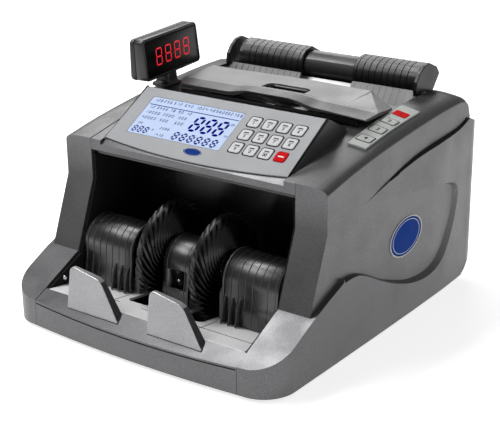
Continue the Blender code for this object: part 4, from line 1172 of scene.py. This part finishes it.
def make_rear():
    """Sill behind the hopper bar, vents, blank plate, screws, inlet pins and rocker mark."""
    soften(block("hopper_sill", (-96.6, 190.0, 146.0), (96.6, 203.4, 155.1), PAINT), 0.6)

    def place(u, v, h):
        return (u, rear_y(v) + h, v)

    vents = vent_row(12.0, 6.0, 12, 62.0, 82.0, 1.3) + vent_row(12.0, 6.0, 12, 88.0, 108.0, 1.3)
    plates("rear_vents", vents, place, -0.6, 0.12, BLACK)
    plates("rear_plate", [rounded(-78.0, 66.0, -26.0, 98.0, 2.0, 3)], place, -0.5, 0.25, KEY_GREY)
    screws("rear_screw", corners(88.0, 12.0, 122.0), 0.0, 3.0, place, 1.0)
    for number, (u, v) in enumerate(((-68.0, 36.0), (-63.0, 39.6), (-58.0, 36.0)), 1):
        plates("inlet_pin_%d" % number, [pad(u, v, 1.0, 2.0, 0.6, 2)],
               lambda a, b, h: (a, 218.0 + h, b), 0.0, 12.0, BRASS)
    plates("rocker_marks", [rounded(-30.0, 33.0, -28.4, 35.6, 0.3, 2)],
           lambda a, b, h: (a, 229.7 + h, b), -0.3, 0.05, WHITE_INK, BODY_OF["power_rocker"])


def make_underside():
    """Vents, screws and the recesses in the feet."""
    def place(u, v, h):
        return (u, v, h)

    plates("base_vents", vent_row(-45.5, 7.0, 14, 60.0, 110.0, 1.5), place, -0.12, 0.4, BLACK)
    screws("base_screw", corners(100.0, 10.0, 130.0), 0.0, 3.2, place, -1.0)
    for number, foot in enumerate(corners(92.0, -38.0, 178.0), 1):
        plates("foot_recess_%d" % number, ring_outlines(circle(foot, 4.6, 24), circle(foot, 3.4, 24)),
               place, -3.02, -2.6, BLACK)


# ---------------------------------------------------------------- side key strip and badge

STRIP_X = 107.8
SIDE_KEY_YS = (126.4, 109.3, 92.2, 75.1)
STRIP_TOP = 2.2                 # the key strip stands this far above the roof


def roof_z(x, y):
    """Height of the roof of a side cover."""
    for (y0, s0, e0), (y1, s1, e1) in zip(ROOF, ROOF[1:]):
        if y0 <= y <= y1:
            share = (y - y0) / (y1 - y0)
            seam, edge = s0 + (s1 - s0) * share, e0 + (e1 - e0) * share
            return seam + (edge - seam) * (x - SEAM_X) / (WALL_X - SEAM_X)
    return ROOF[-1][1]


def strip_place(u, v, h):
    """A place h above the top of the key strip."""
    return (u, v, roof_z(u, v) + STRIP_TOP + h)


def make_side_keys():
    """Four keys on the strip, each with its digit; the three grey ones have a printed border."""
    outlines = []
    half_x, half_y = 5.8, 4.3
    for number, y in enumerate(SIDE_KEY_YS, 1):
        node = "side_key_%d" % number
        cap = key_cap("side_cap_%d" % number, pad(STRIP_X, y, half_x, half_y, 1.2, 4), 0.92, strip_place,
                      0.0, 0.4, 0.25, KEY_RED if number == 1 else KEY_GREY, BODY_OF[node])
        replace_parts(cap, node)
        if number > 1:
            outlines += ring_outlines(pad(STRIP_X, y, half_x + 0.9, half_y + 0.9, 1.8, 4),
                                      pad(STRIP_X, y, half_x + 0.2, half_y + 0.2, 1.3, 4))
        legend("side_digit_%d" % number, str(number), 5.6,
               lambda u, v, h, y=y: strip_place(STRIP_X + u, y + v, 0.32 + h), INK, BODY_OF[node])
    plates("side_key_borders", outlines, strip_place, -0.1, 0.05, INK)


BADGE_AT = (111.5, 65.0)


def make_side_badge():
    """Blank oval badge on the leaf of the right side."""
    tilt = math.radians(-3.0)
    c, s = math.cos(tilt), math.sin(tilt)

    def place(u, v, h):
        return (WALL_X + h, BADGE_AT[0] + u * c + v * s, BADGE_AT[1] + v * c - u * s)

    badge("side_badge", (0.0, 0.0), (24.4, 15.6), place, -0.3, 0.5)


make_camera()
make_studio()
dress_frame()
side_cover(-1, "cover_left", "side_cover_left")
side_cover(1, "cover_right", "side_cover_right")
make_lcd()
make_keys()
badge("panel_badge", (-1.8, 9.3), (9.2, 3.9), panel, -0.1, 0.1)
make_side_badge()
make_side_keys()
make_display()
for shell_side in SHELLS:
    make_shell(shell_side)
for fan_side, fan_centre in zip(("left", "right"), WHEEL_XS):
    make_fan(fan_side, fan_centre)
make_hatch()
for guide_side in GUIDES:
    make_guide(guide_side)
make_hopper_floor()
for paddle_side in PADDLES:
    make_paddle(paddle_side)
make_seams()
make_rear()
make_underside()
